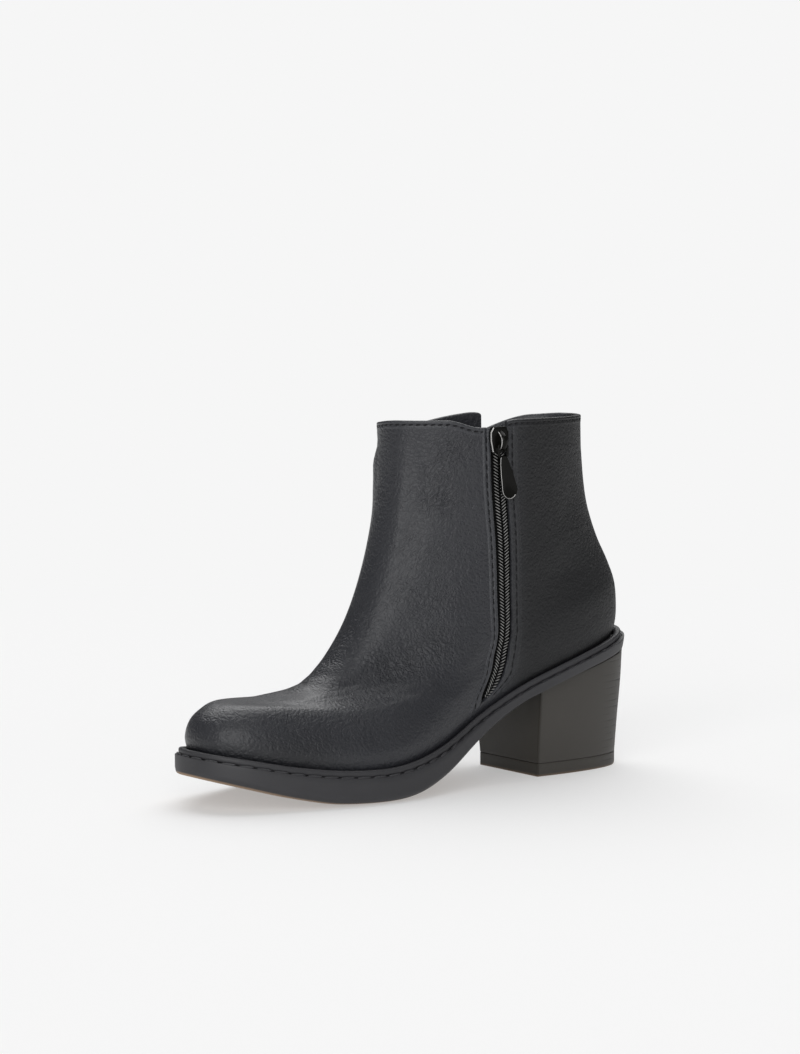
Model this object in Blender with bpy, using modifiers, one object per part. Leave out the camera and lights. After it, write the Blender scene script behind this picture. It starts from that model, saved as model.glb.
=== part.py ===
"""Ankle boot for the right foot: a hollow upper with an inner-side zip, on a welt, outsole and block heel.

Metres, +Z up. The toe points to -Y, the inner side of the foot, with the zip, is +X, and the floor is z = 0.
Tables are in millimetres and degrees; every function gives metres.
"""

import math

import bmesh
import bpy
import numpy as np
from mathutils import Matrix, Vector

MM = 0.001
SHARP_ANGLE = math.radians(40)

# Clearances, walls and heights
GAP = 0.3 * MM
WALL = 2.0 * MM
WELT_HEIGHT = 3.2 * MM
WELT_SHARE = 0.72
SOLE_EDGE_LIFT = 2.8 * MM
INSOLE_THICKNESS = 3.0 * MM
COLLAR_FRONT_Z = 164.0 * MM
COLLAR_BACK_Z = 164.4 * MM

# Dips of the collar: depth, middle and half width in degrees round the foot
ZIP_DIP = (3.4 * MM, 68, 20)
OUTER_DIP = (14.5 * MM, 274, 60)

# Block heel
HEEL_BREAST_Y = 57.0 * MM
HEEL_TIP_HEIGHT = 6.0 * MM
HEEL_TIP_LIFT = 2.2 * MM
HEEL_TIP_LIFT_RUN = 9.0 * MM

# Zip: half widths of the slot, the chain and the tape behind it, and the level at which the slot ends
SLOT_HALF = 5.2 * MM
SLOT_END_HALF = 1.0 * MM
SLOT_END_LEVEL = 0.82
SLOT_TAPER_LEVEL = 1.8
CHAIN_CLEARANCE = 1.6 * MM
TAPE_HALF = 11.5 * MM
TAPE_THICKNESS = 0.9 * MM
SLIDER_Z = 155.5 * MM

# Strap over the dip of the outer side
STRAP_THICKNESS = 2.2 * MM
STRAP_START = 322
STRAP_END = 245

# Angles round the foot, from the toe (0) over the side to the heel (180), where the sections give half widths
STATIONS = np.radians([0, 45, 72, 104, 136, 180])

# One row for each section of the last, from the feather line (level 0) up to above the collar.
# front and back: the section's ends on the centreline; round: their radius; in and out: half widths at the
# stations of the inner and outer side; hug: how closely the section follows the curve of the sole;
# zip: the angle at which the zip crosses the section.
SECTION_COLUMNS = (
    "front_x", "front_y", "front_z", "back_y", "back_z", "toe_round", "heel_round",
    "toe_in", "ball_in", "waist_in", "heel_in", "toe_out", "ball_out", "waist_out", "heel_out", "hug", "zip",
)
SECTIONS = np.array([
    [5.0, -114.9, 23.5, 111.5, 61.8, 25, 24, 28.0, 37.0, 27.0, 24.0, 29.5, 41.0, 35.0, 25.0, 1.00, 95.5],
    [5.0, -116.0, 31.0, 113.6, 69.5, 27, 25, 29.5, 39.0, 28.5, 26.5, 31.0, 43.0, 36.0, 27.5, 0.97, 101.5],
    [5.0, -112.3, 38.9, 113.8, 78.5, 27, 25, 27.5, 36.5, 29.5, 27.5, 28.5, 40.5, 36.0, 28.0, 0.90, 103.6],
    [4.5, -101.8, 44.3, 112.6, 88.0, 25, 24, 23.5, 32.0, 29.5, 27.5, 24.5, 35.5, 34.5, 27.5, 0.80, 103.0],
    [3.5, -82.0, 44.1, 108.6, 98.0, 21, 22, 19.0, 29.5, 29.5, 26.0, 19.5, 31.5, 33.0, 26.5, 0.68, 100.6],
    [2.0, -56.5, 48.2, 103.4, 108.0, 18, 20, 17.5, 28.5, 29.5, 24.5, 18.0, 29.5, 31.5, 25.0, 0.48, 95.6],
    [1.0, -36.0, 67.5, 98.8, 119.0, 18, 19, 18.5, 28.0, 29.5, 23.0, 19.0, 28.5, 30.5, 23.5, 0.24, 89.5],
    [0.0, -22.0, 96.0, 95.2, 131.0, 18, 18, 19.5, 28.0, 29.5, 22.0, 20.0, 28.5, 30.0, 22.5, 0.08, 84.0],
    [0.0, -14.0, 132.0, 93.2, 148.0, 19, 18, 21.0, 29.0, 30.0, 22.0, 21.0, 29.0, 30.0, 22.0, 0.00, 77.5],
    [0.0, -12.0, 178.0, 92.6, 180.0, 20, 19, 22.0, 30.0, 31.0, 22.0, 22.0, 30.0, 31.0, 22.0, 0.00, 75.0],
])
LEVELS = np.arange(len(SECTIONS), dtype=float)

# The sole along its length: height of its top and bottom, and how far its edge stands out from the upper
SOLE_COLUMNS = ("y", "top", "bottom", "margin")
SOLE = np.array([
    [-121, 23.2, 16.0, 5.6],
    [-105, 20.2, 11.5, 5.6],
    [-80, 15.2, 4.6, 5.4],
    [-58, 12.6, 0.0, 5.2],
    [-30, 13.0, 0.0, 5.0],
    [-5, 19.2, 8.5, 4.6],
    [20, 30.8, 22.8, 4.0],
    [45, 41.4, 35.2, 4.0],
    [70, 49.6, 44.2, 4.4],
    [95, 56.4, 51.0, 5.4],
    [119, 62.6, 57.2, 7.3],
])

# The heel from its seat down to the floor: half widths at the breast, its reach to the back, and its roundness
HEEL_COLUMNS = ("depth", "inner", "outer", "back", "power")
HEEL = np.array([
    [0.0, 23.8, 30.0, 118.0, 2.3],
    [0.3, 23.2, 27.6, 117.2, 2.4],
    [0.7, 22.4, 24.2, 115.4, 2.5],
    [1.0, 22.0, 22.0, 114.2, 2.5],
])


def smooth(knots, values, at):
    """A smooth curve through values (last axis) at the knots, read at the places `at`."""
    at = np.asarray(at, float)
    values = np.broadcast_to(values, at.shape + (len(knots),))
    slopes = np.gradient(values, knots, axis=-1)
    place = np.clip(at, knots[0], knots[-1])
    low = np.clip(np.searchsorted(knots, place, side="right") - 1, 0, len(knots) - 2)
    width = knots[low + 1] - knots[low]
    s = (place - knots[low]) / width

    def pick(table, index):
        return np.take_along_axis(table, index[..., None], -1)[..., 0]

    start, end = pick(values, low), pick(values, low + 1)
    lean_in, lean_out = pick(slopes, low) * width, pick(slopes, low + 1) * width
    rest = (3 * s ** 2 - 2 * s ** 3) * (end - start)
    return start + rest + (s ** 3 - 2 * s ** 2 + s) * lean_in + (s ** 3 - s ** 2) * lean_out


def sole_value(column, y):
    """A column of the sole's table at the place y along the boot."""
    return smooth(SOLE[:, 0] * MM, SOLE[:, SOLE_COLUMNS.index(column)] * MM, y)


def section(level):
    """The columns of the section at a level, by name."""
    level = np.asarray(level, float)
    row = smooth(LEVELS, SECTIONS.T, level[..., None] + np.zeros(len(SECTION_COLUMNS)))
    return {name: row[..., i] for i, name in enumerate(SECTION_COLUMNS)}


def last(angle, level):
    """The outer face of the upper: angle runs from the toe (0) over the inner side to the heel (pi)."""
    angle, level = np.broadcast_arrays(np.asarray(angle, float), np.asarray(level, float))
    row = section(level)
    inner = np.sin(angle) >= 0
    turn = np.arccos(np.cos(angle))
    length = row["back_y"] - row["front_y"]
    share = (1 - np.cos(turn)) / 2
    bulge = [np.sqrt(row["toe_round"] * length / 2)]
    for name, station in zip(("toe", "ball", "waist", "heel"), STATIONS[1:-1]):
        bulge.append(np.where(inner, row[name + "_in"], row[name + "_out"]) / np.sin(station))
    bulge.append(np.sqrt(row["heel_round"] * length / 2))
    half = smooth(STATIONS, np.stack(bulge, -1), turn) * np.sin(turn)
    y = row["front_y"] + share * length
    z = row["front_z"] + share * (row["back_z"] - row["front_z"])
    # The sole's curve away from a straight line between its ends, carried up into the lower sections
    foot = dict(zip(SECTION_COLUMNS, SECTIONS[0]))
    ends = sole_value("top", np.array([foot["front_y"], foot["back_y"]]) * MM) / MM
    along = foot["front_y"] + share * (foot["back_y"] - foot["front_y"])
    z = z + row["hug"] * (sole_value("top", along * MM) / MM - ends[0] - share * (ends[1] - ends[0]))
    x = np.where(inner, half, -half) + row["front_x"] * (1 - share) ** 2
    return np.stack([x, y, z], -1) * MM


def normal(angle, level, step=0.01):
    """The outward unit normal of the last."""
    round_way = last(angle + step, level) - last(angle - step, level)
    up_way = last(angle, np.asarray(level) + step) - last(angle, np.asarray(level) - step)
    n = np.cross(round_way, up_way)
    return n / np.linalg.norm(n, axis=-1, keepdims=True)


def level_at_height(angle, z):
    """The level at which the last reaches a height, by halving."""
    low = np.zeros(np.shape(angle))
    high = low + LEVELS[-1]
    for _ in range(30):
        middle = (low + high) / 2
        below = last(angle, middle)[..., 2] < z
        low, high = np.where(below, middle, low), np.where(below, high, middle)
    return low


def dip(angle, depth, centre, half_width):
    """A smooth dip of the collar round the centre angle."""
    turn = (angle - math.radians(centre) + math.pi) % (2 * math.pi) - math.pi
    away = np.abs(turn) / math.radians(half_width)
    return depth * np.cos(np.minimum(away, 1) * math.pi / 2) ** 2


def collar_height(angle):
    share = (1 - np.cos(angle)) / 2
    z = COLLAR_FRONT_Z + share * (COLLAR_BACK_Z - COLLAR_FRONT_Z)
    return z - dip(angle, *ZIP_DIP) - dip(angle, *OUTER_DIP)


def zip_angle(level):
    return np.radians(section(level)["zip"])


def slot_half(level):
    """Half width of the zip's slot, narrowing to its lower end."""
    open_share = np.clip((level - SLOT_END_LEVEL) / (SLOT_TAPER_LEVEL - SLOT_END_LEVEL), 0, 1)
    return SLOT_END_HALF + (SLOT_HALF - SLOT_END_HALF) * np.sin(open_share * math.pi / 2)


def angle_beside_zip(level, reach):
    """The angle at a distance round the upper from the middle of the zip."""
    middle = zip_angle(level)
    step = 0.005
    pace = np.linalg.norm(last(middle + step, level) - last(middle - step, level), axis=-1) / (2 * step)
    return middle + reach / pace


def make_material(name, colour, roughness, metallic=0.0):
    material = bpy.data.materials.new(name)
    material.use_nodes = True
    shader = material.node_tree.nodes["Principled BSDF"]
    shader.inputs["Base Color"].default_value = (*colour, 1)
    shader.inputs["Roughness"].default_value = roughness
    shader.inputs["Metallic"].default_value = metallic
    return material


def plan_centre():
    """The middle of the sole's outline in plan, which becomes the origin of the finished boot."""
    rim = plan_rows(SOLE_ROWS, (0, 1)).reshape(-1, 2)
    return (rim.min(axis=0) + rim.max(axis=0)) / 2


def make_object(name, bm, material):
    """An object from a finished bmesh, moved over the origin, with all faces turned outwards."""
    bmesh.ops.recalc_face_normals(bm, faces=bm.faces)
    bmesh.ops.translate(bm, verts=bm.verts, vec=(*-plan_centre(), 0))
    mesh = bpy.data.meshes.new(name)
    bm.to_mesh(mesh)
    bm.free()
    mesh.shade_smooth()
    mesh.set_sharp_from_angle(angle=SHARP_ANGLE)
    mesh.materials.append(material)
    obj = bpy.data.objects.new(name, mesh)
    bpy.data.collections["ankle_boot"].objects.link(obj)
    return obj


def slab(name, top, bottom, material):
    """A closed solid between two grids of points with the same rows and columns."""
    rows, columns = top.shape[:2]
    bm = bmesh.new()
    upper = [[bm.verts.new(p) for p in row] for row in top]
    lower = [[bm.verts.new(p) for p in row] for row in bottom]
    for i in range(rows - 1):
        for j in range(columns - 1):
            bm.faces.new((upper[i][j], upper[i][j + 1], upper[i + 1][j + 1], upper[i + 1][j]))
            bm.faces.new((lower[i][j], lower[i + 1][j], lower[i + 1][j + 1], lower[i][j + 1]))
    rim = [(i, 0) for i in range(rows)] + [(rows - 1, j) for j in range(1, columns)]
    rim += [(i, columns - 1) for i in range(rows - 2, -1, -1)] + [(0, j) for j in range(columns - 2, 0, -1)]
    for (i, j), (k, m) in zip(rim, rim[1:] + rim[:1]):
        bm.faces.new((upper[i][j], upper[k][m], lower[k][m], lower[i][j]))
    return make_object(name, bm, material)


def edge_points(angles, out_by):
    """The sole's edge in plan: the feather line moved outwards by the sole's margin plus out_by."""
    base = last(angles, 0 * angles)
    step = 0.01
    way = last(angles + step, 0 * angles) - last(angles - step, 0 * angles)
    out = np.stack([way[:, 1], -way[:, 0]], -1)
    out /= np.linalg.norm(out, axis=1, keepdims=True)
    reach = sole_value("margin", base[:, 1]) + out_by
    return base[:, :2] + out * reach[:, None]


def plan_rows(rows, across, out_by=0.0, from_feather=False):
    """Rows of plan points from the inner to the outer edge of the sole; across lists shares of the width."""
    angles = np.linspace(math.radians(3), math.radians(177), rows)
    if from_feather:
        out_by = out_by - sole_value("margin", last(angles, 0 * angles)[:, 1])
    inner = edge_points(angles, out_by)
    outer = edge_points(2 * math.pi - angles, out_by)
    share = np.array(across)[None, :, None]
    return inner[:, None] * (1 - share) + outer[:, None] * share


def with_height(plan, z):
    return np.concatenate([plan, np.broadcast_to(z, plan.shape[:2])[..., None]], -1)


# Shares across the sole from its inner to its outer edge, and how far the lower face is rounded up at each
SOLE_ROWS = 46
SOLE_ACROSS = [0, 0.02, 0.06, 0.14, 0.5, 0.86, 0.94, 0.98, 1]
SOLE_ROUNDING = np.array([1, 0.45, 0.1, 0, 0, 0, 0.1, 0.45, 1])
ROUNDING_END_Y = HEEL_BREAST_Y - 4.0 * MM
ROUNDING_FADE = 20.0 * MM


def build_outsole(material):
    plan = plan_rows(SOLE_ROWS, SOLE_ACROSS)
    y = plan[..., 1]
    # The lower edge is rounded up along the forefoot and arch, and flat over the heel
    fade = np.clip((ROUNDING_END_Y - y) / ROUNDING_FADE, 0, 1)
    low = np.maximum(sole_value("bottom", y), 0) + SOLE_ROUNDING * fade * SOLE_EDGE_LIFT
    slab("outsole", with_height(plan, sole_value("top", y)), with_height(plan, low), material)


def build_welt(material):
    count = 84
    angles = np.linspace(0, 2 * math.pi, count, endpoint=False)
    foot = last(angles, 0 * angles)
    top_level = level_at_height(angles, foot[:, 2] + WELT_HEIGHT)
    inner = (last(angles, top_level) + normal(angles, top_level) * 2 * GAP)[:, :2]
    outer = edge_points(angles, -(1 - WELT_SHARE) * sole_value("margin", foot[:, 1]))

    def ring(plan, height):
        return np.column_stack([plan, sole_value("top", plan[:, 1]) + height])

    loops = [ring(inner, GAP), ring(outer, GAP), ring(outer, WELT_HEIGHT - 2 * GAP), ring(inner, WELT_HEIGHT)]
    bm = bmesh.new()
    verts = [[bm.verts.new(p) for p in loop] for loop in loops]
    for a, b in zip(verts, verts[1:] + verts[:1]):
        for j in range(count):
            k = (j + 1) % count
            bm.faces.new((a[j], a[k], b[k], b[j]))
    make_object("welt", bm, material)


def heel_plan(depth, rows, across):
    """Plan rows of the heel at a share of its depth, from the breast to the rounded back."""
    row = dict(zip(HEEL_COLUMNS, smooth(HEEL[:, 0], HEEL.T, np.full(len(HEEL_COLUMNS), depth))))
    turn = np.linspace(0, math.radians(87), rows)
    along = np.sin(turn) ** (2 / row["power"])
    half = np.cos(turn) ** (2 / row["power"])
    y = HEEL_BREAST_Y + along * (row["back"] * MM - HEEL_BREAST_Y)
    share = np.linspace(0, 1, across)
    x = half[:, None] * (row["inner"] * (1 - share) - row["outer"] * share) * MM
    return np.stack([x, np.broadcast_to(y[:, None], x.shape)], -1)


def build_heel(block_material, tip_material):
    rows, across, floors = 20, 7, 5
    joint = HEEL_TIP_HEIGHT + GAP
    seat = heel_plan(0.0, rows, across)
    top = with_height(seat, sole_value("bottom", seat[..., 1]) - GAP)
    layers = [top]
    for share in np.linspace(0, 1, floors)[1:]:
        plan = heel_plan(share, rows, across)
        layers.append(with_height(plan, top[..., 2] * (1 - share) + joint * share))
    bm = bmesh.new()
    rim = [(i, 0) for i in range(rows)] + [(rows - 1, j) for j in range(1, across)]
    rim += [(i, across - 1) for i in range(rows - 2, -1, -1)] + [(0, j) for j in range(across - 2, 0, -1)]
    lid = [[bm.verts.new(p) for p in row] for row in layers[0]]
    base = [[bm.verts.new(p) for p in row] for row in layers[-1]]
    loops = [[lid[i][j] for i, j in rim]]
    loops += [[bm.verts.new(layer[i][j]) for i, j in rim] for layer in layers[1:-1]]
    loops.append([base[i][j] for i, j in rim])
    for grid in (lid, base):
        for i in range(rows - 1):
            for j in range(across - 1):
                bm.faces.new((grid[i][j], grid[i][j + 1], grid[i + 1][j + 1], grid[i + 1][j]))
    for a, b in zip(loops, loops[1:]):
        for j in range(len(rim)):
            k = (j + 1) % len(rim)
            bm.faces.new((a[j], a[k], b[k], b[j]))
    make_object("heel_block", bm, block_material)
    # The tip's lower edge is lifted a little at the back, the rest lies flat on the floor
    tip = heel_plan(1.0, rows, across)
    back = (HEEL[-1, HEEL_COLUMNS.index("back")] * MM - tip[..., 1]) / HEEL_TIP_LIFT_RUN
    low = HEEL_TIP_LIFT * np.clip(1 - back, 0, 1) ** 2
    slab("heel_tip", with_height(tip, HEEL_TIP_HEIGHT), with_height(tip, low), tip_material)


INSOLE_ROWS = 40
INSOLE_ACROSS = [0, 0.25, 0.5, 0.75, 1]


def build_insole(material):
    plan = plan_rows(INSOLE_ROWS, INSOLE_ACROSS, -(WALL + 2.5 * GAP), from_feather=True)
    low = sole_value("top", plan[..., 1]) + GAP
    slab("insole", with_height(plan, low + INSOLE_THICKNESS), with_height(plan, low), material)


def upper_angle(column, level, front_columns, columns):
    """Angle of a grid column: two columns follow the slot's edges, and the rest share the way round."""
    before = angle_beside_zip(level, -slot_half(level))
    after = angle_beside_zip(level, slot_half(level))
    rest = (column - front_columns - 1) / (columns - front_columns - 1)
    behind = after + (2 * math.pi - after) * rest
    return np.where(column <= front_columns, before * column / front_columns, behind)


def build_upper(material):
    front_columns, columns, low_rows, rows = 18, 64, 3, 20
    column = np.arange(columns)
    top = np.full(columns, LEVELS[-1] - 0.4)
    for _ in range(5):
        angles = upper_angle(column, top, front_columns, columns)
        top = level_at_height(angles, collar_height(angles))
    row = np.arange(rows + 1)[:, None]
    climb = (row - low_rows) / (rows - low_rows)
    above = SLOT_END_LEVEL + (top - SLOT_END_LEVEL) * climb
    levels = np.where(row <= low_rows, SLOT_END_LEVEL * row / low_rows, above)
    points = last(upper_angle(column + 0 * row, levels, front_columns, columns), levels)
    points[0, :, 2] += GAP
    bm = bmesh.new()
    verts = [[bm.verts.new(p) for p in line] for line in points]
    for i in range(rows):
        for j in range(columns):
            in_slot = j == front_columns and i >= low_rows
            if not in_slot:
                k = (j + 1) % columns
                bm.faces.new((verts[i][j], verts[i][k], verts[i + 1][k], verts[i + 1][j]))
    obj = make_object("upper", bm, material)
    wall = obj.modifiers.new("wall", "SOLIDIFY")
    wall.thickness = WALL
    wall.offset = -1
    wall.use_even_offset = True


def zip_strip(name, levels, halves, outer, inner, material, across=5):
    """A strip along the zip between two depths under the upper's outer face."""
    share = np.linspace(-1, 1, across)
    level = np.broadcast_to(levels[:, None], (len(levels), across))
    angle = angle_beside_zip(level, halves[:, None] * share)
    face, way = last(angle, level), normal(angle, level)
    slab(name, face + way * outer, face + way * inner, material)


def zip_frame():
    """The slider's place on the upper's face, and the ways up the zip, across it and out of the boot."""
    level = level_at_height(math.radians(SECTIONS[-2, -1]), SLIDER_Z)
    for _ in range(4):
        level = level_at_height(zip_angle(level), SLIDER_Z)
    step = 0.1
    out = normal(zip_angle(level), level)
    up = last(zip_angle(level + step), level + step) - last(zip_angle(level - step), level - step)
    up -= out * np.dot(up, out)
    up /= np.linalg.norm(up)
    return last(zip_angle(level), level), up, np.cross(out, up), out


def to_boot(across, up, out):
    """A point of the slider's frame in the boot."""
    place, up_way, across_way, out_way = zip_frame()
    return place + across * across_way + up * up_way + out * out_way


def prism(bm, outline, low, high):
    """Adds a prism to a bmesh: the outline (across, up) between two heights out of the upper."""
    floor = [bm.verts.new(to_boot(a, u, low)) for a, u in outline]
    roof = [bm.verts.new(to_boot(a, u, high)) for a, u in outline]
    bm.faces.new(floor)
    bm.faces.new(roof)
    count = len(outline)
    for j in range(count):
        k = (j + 1) % count
        bm.faces.new((floor[j], floor[k], roof[k], roof[j]))


def cut(obj, tool, operation):
    """Applies a cutter or an added form to an object with an exact Boolean, and keeps the form as a wire."""
    tool.hide_render = True
    tool.display_type = "WIRE"
    bpy.data.collections["ankle_boot"].objects.unlink(tool)
    bpy.data.collections["forms"].objects.link(tool)
    step = obj.modifiers.new(tool.name, "BOOLEAN")
    step.operation = operation
    step.solver = "EXACT"
    step.object = tool


# Slider and pull, in the slider's frame
SLIDER_HALF_LENGTH = 5.75 * MM
SLIDER_TOP_HALF = 4.3 * MM
SLIDER_FOOT_HALF = 3.2 * MM
SLIDER_LOW = 0.4 * MM
SLIDER_HIGH = 2.4 * MM
POST_HALF = 2.2 * MM
BRIDGE_HALF = 1.1 * MM
BRIDGE_UP = (-4.2 * MM, 1.8 * MM)
BRIDGE_LEG = 1.0 * MM
BRIDGE_INSIDE = 5.0 * MM
BRIDGE_OUTSIDE = 6.0 * MM
PIVOT_UP = -2.2 * MM
PIVOT_OUT = 4.05 * MM
PULL_HALF_THICKNESS = 0.6 * MM
PULL_BAR = 0.55 * MM
WINDOW_HALF = 1.45 * MM
WINDOW_LENGTH = 5.0 * MM
PULL_HEAD_HALF = 2.5 * MM
PULL_WIDE_HALF = 4.2 * MM
PULL_WIDE_UP = -22.0 * MM
PULL_SLANT = -1.8 * MM
PULL_END_LENGTH = 4.8 * MM
PULL_NECK = 1.0 * MM


def build_slider(material):
    top, foot, length = SLIDER_TOP_HALF, SLIDER_FOOT_HALF, SLIDER_HALF_LENGTH
    shoulder = length - 2.2 * MM
    outline = [(-foot, -length), (foot, -length), (top, 0), (top, shoulder), (foot, length)]
    outline += [(-foot, length), (-top, shoulder), (-top, 0)]
    bm = bmesh.new()
    prism(bm, outline, SLIDER_LOW, SLIDER_HIGH)
    slider = make_object("zip_slider", bm, material)
    bm = bmesh.new()
    post = [(-POST_HALF, -length), (POST_HALF, -length), (POST_HALF, length), (-POST_HALF, length)]
    prism(bm, post, -WALL, (SLIDER_LOW + SLIDER_HIGH) / 2)
    cut(slider, make_object("slider_post", bm, material), "UNION")
    low, high = BRIDGE_UP
    bm = bmesh.new()
    bail = [(-BRIDGE_HALF, low), (BRIDGE_HALF, low), (BRIDGE_HALF, high), (-BRIDGE_HALF, high)]
    prism(bm, bail, (SLIDER_LOW + SLIDER_HIGH) / 2, BRIDGE_OUTSIDE)
    cut(slider, make_object("slider_bridge", bm, material), "UNION")
    bm = bmesh.new()
    wide = 2 * BRIDGE_HALF
    foot_up, head_up = low + BRIDGE_LEG, high - BRIDGE_LEG
    mouth = [(-wide, foot_up), (wide, foot_up), (wide, head_up), (-wide, head_up)]
    prism(bm, mouth, SLIDER_HIGH, BRIDGE_INSIDE)
    cut(slider, make_object("slider_mouth", bm, material), "DIFFERENCE")


def build_pull(material):
    head = PIVOT_UP + PULL_BAR
    outline = [(-PULL_HEAD_HALF, head), (-PULL_HEAD_HALF, PIVOT_UP - WINDOW_LENGTH - PULL_NECK)]
    turns = np.linspace(0, math.pi, 13)
    for turn in turns:
        across = PULL_SLANT - PULL_WIDE_HALF * math.cos(turn)
        outline.append((across, PULL_WIDE_UP - PULL_END_LENGTH * math.sin(turn)))
    outline += [(PULL_HEAD_HALF, PIVOT_UP - WINDOW_LENGTH - PULL_NECK), (PULL_HEAD_HALF, head)]
    bm = bmesh.new()
    prism(bm, outline, PIVOT_OUT - PULL_HALF_THICKNESS, PIVOT_OUT + PULL_HALF_THICKNESS)
    pull = make_object("zip_pull", bm, material)
    bm = bmesh.new()
    top, bottom = PIVOT_UP - PULL_BAR, PIVOT_UP - WINDOW_LENGTH
    window = [(-WINDOW_HALF, bottom), (WINDOW_HALF, bottom), (WINDOW_HALF, top), (-WINDOW_HALF, top)]
    prism(bm, window, PIVOT_OUT - 2 * PULL_HALF_THICKNESS, PIVOT_OUT + 2 * PULL_HALF_THICKNESS)
    cut(pull, make_object("pull_window", bm, material), "DIFFERENCE")
    # The pull's own origin is on its pivot
    pivot = Vector(to_boot(0, PIVOT_UP, PIVOT_OUT)) - Vector((*plan_centre(), 0))
    pull.data.transform(Matrix.Translation(-pivot))
    pull.location = pivot


def build_zip(tape_material, chain_material, metal):
    top = level_at_height(zip_angle(LEVELS[-1] - 0.5), COLLAR_FRONT_Z - ZIP_DIP[0] - 2.0 * MM)
    levels = np.linspace(SLOT_END_LEVEL - 0.05, float(top), 30)
    depth = WALL + GAP
    zip_strip("zip_tape", levels, np.full(30, TAPE_HALF), -depth, -depth - TAPE_THICKNESS, tape_material, across=7)
    chain_top = level_at_height(zip_angle(LEVELS[-1] - 0.5), SLIDER_Z - SLIDER_HALF_LENGTH - GAP)
    levels = np.linspace(SLOT_END_LEVEL + 0.35, float(chain_top), 30)
    zip_strip("zip_chain", levels, slot_half(levels) - CHAIN_CLEARANCE, -0.2 * MM, -WALL, chain_material)
    build_slider(metal)
    build_pull(metal)


# Heights of the strap's two edges along its way back, as shares of its length
STRAP_COLUMNS = ("share", "top", "bottom")
STRAP = np.array([
    [0.00, 150.5, 116.0],
    [0.30, 157.0, 122.0],
    [0.57, 161.5, 128.0],
    [0.80, 163.2, 132.5],
    [1.00, 164.4, 135.5],
])
STRAP_CORNER = 7.0


def build_strap(material):
    share = np.concatenate([np.linspace(0, 0.9, 20), 0.9 + 0.1 * np.sin(np.linspace(0.2, 1, 7) * math.pi / 2)])
    angle = np.radians(STRAP_START + share * (STRAP_END - STRAP_START))
    top, bottom = [smooth(STRAP[:, 0], STRAP[:, STRAP_COLUMNS.index(name)], share) for name in ("top", "bottom")]
    # Rounded corners at the free end
    corner = STRAP_CORNER * (1 - np.sqrt(1 - (np.clip(share - 0.9, 0, 0.1) / 0.1 * 0.99) ** 2))
    across = np.linspace(0, 1, 7)
    height = ((top - corner)[:, None] * (1 - across) + (bottom + corner)[:, None] * across) * MM
    angle = np.broadcast_to(angle[:, None], height.shape)
    level = level_at_height(angle, height)
    face, way = last(angle, level), normal(angle, level)
    near = GAP + 0.1 * MM
    slab("side_strap", face + way * (near + STRAP_THICKNESS), face + way * near, material)


def main():
    for obj in list(bpy.data.objects):
        bpy.data.objects.remove(obj)
    for name in ("ankle_boot", "forms"):
        bpy.context.scene.collection.children.link(bpy.data.collections.new(name))
    leather = make_material("charcoal_leather", (0.045, 0.046, 0.05), 0.5)
    rubber = make_material("sole_rubber", (0.05, 0.05, 0.052), 0.55)
    lining = make_material("insole_lining", (0.06, 0.055, 0.05), 0.8)
    tape = make_material("zip_tape_cloth", (0.02, 0.02, 0.02), 0.9)
    teeth = make_material("zip_teeth_plastic", (0.03, 0.03, 0.03), 0.45)
    metal = make_material("black_metal", (0.03, 0.03, 0.032), 0.3, 0.9)
    build_upper(leather)
    build_welt(rubber)
    build_outsole(rubber)
    build_heel(rubber, rubber)
    build_insole(lining)
    build_zip(tape, teeth, metal)
    build_strap(leather)


main()
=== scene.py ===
"""Looks of a right-foot ankle boot: charcoal leather, an inner zip, a beaded welt, outsole and block heel.

Metres, +Z up. The toe points to -Y and the inner side of the foot, with the zip, is +X.
Tables are in millimetres and degrees. Every piece follows the same last as the solids of the frame.
"""

import math

import bpy
import numpy as np
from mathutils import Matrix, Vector


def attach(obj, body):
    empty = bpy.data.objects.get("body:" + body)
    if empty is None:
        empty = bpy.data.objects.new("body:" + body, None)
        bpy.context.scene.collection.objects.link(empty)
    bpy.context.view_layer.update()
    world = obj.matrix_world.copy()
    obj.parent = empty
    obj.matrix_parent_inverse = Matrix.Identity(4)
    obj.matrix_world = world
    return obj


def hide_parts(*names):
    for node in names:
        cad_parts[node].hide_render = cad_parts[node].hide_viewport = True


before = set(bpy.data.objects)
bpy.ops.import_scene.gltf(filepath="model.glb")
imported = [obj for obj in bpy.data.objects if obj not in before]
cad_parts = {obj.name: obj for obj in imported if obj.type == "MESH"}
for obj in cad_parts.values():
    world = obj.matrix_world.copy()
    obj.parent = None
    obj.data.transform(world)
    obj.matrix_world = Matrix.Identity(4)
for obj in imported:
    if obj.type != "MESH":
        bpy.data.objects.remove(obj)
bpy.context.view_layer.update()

MM = 0.001

# Clearances, walls and heights of the boot
GAP = 0.3 * MM
WALL = 2.0 * MM
LEATHER = 1.5 * MM
LINING = 0.4 * MM
WELT_HEIGHT = 3.2 * MM
WELT_SHARE = 0.72
SOLE_EDGE_LIFT = 2.8 * MM
SOLE_SOFTNESS = 3.0 * MM
SOLE_SINK = 1.0 * MM
INSOLE_THICKNESS = 3.0 * MM
COLLAR_FRONT_Z = 164.0 * MM
COLLAR_BACK_Z = 164.4 * MM
ZIP_DIP = (3.4 * MM, 68, 20)
OUTER_DIP = (14.5 * MM, 274, 60)
FRONT_DIP = (1.6 * MM, 332, 42)
BACK_DIP = (1.0 * MM, 222, 34)
HEEL_BREAST_Y = 57.0 * MM
ROUNDING_END_Y = HEEL_BREAST_Y - 4.0 * MM
ROUNDING_FADE = 20.0 * MM
HEEL_TIP_HEIGHT = 6.0 * MM
HEEL_TIP_LIFT = 2.2 * MM
HEEL_TIP_LIFT_RUN = 9.0 * MM
SLOT_HALF = 5.2 * MM
SLOT_END_HALF = 1.2 * MM
SLOT_END_LEVEL = 0.82
SLOT_TAPER_LEVEL = 1.55
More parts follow.
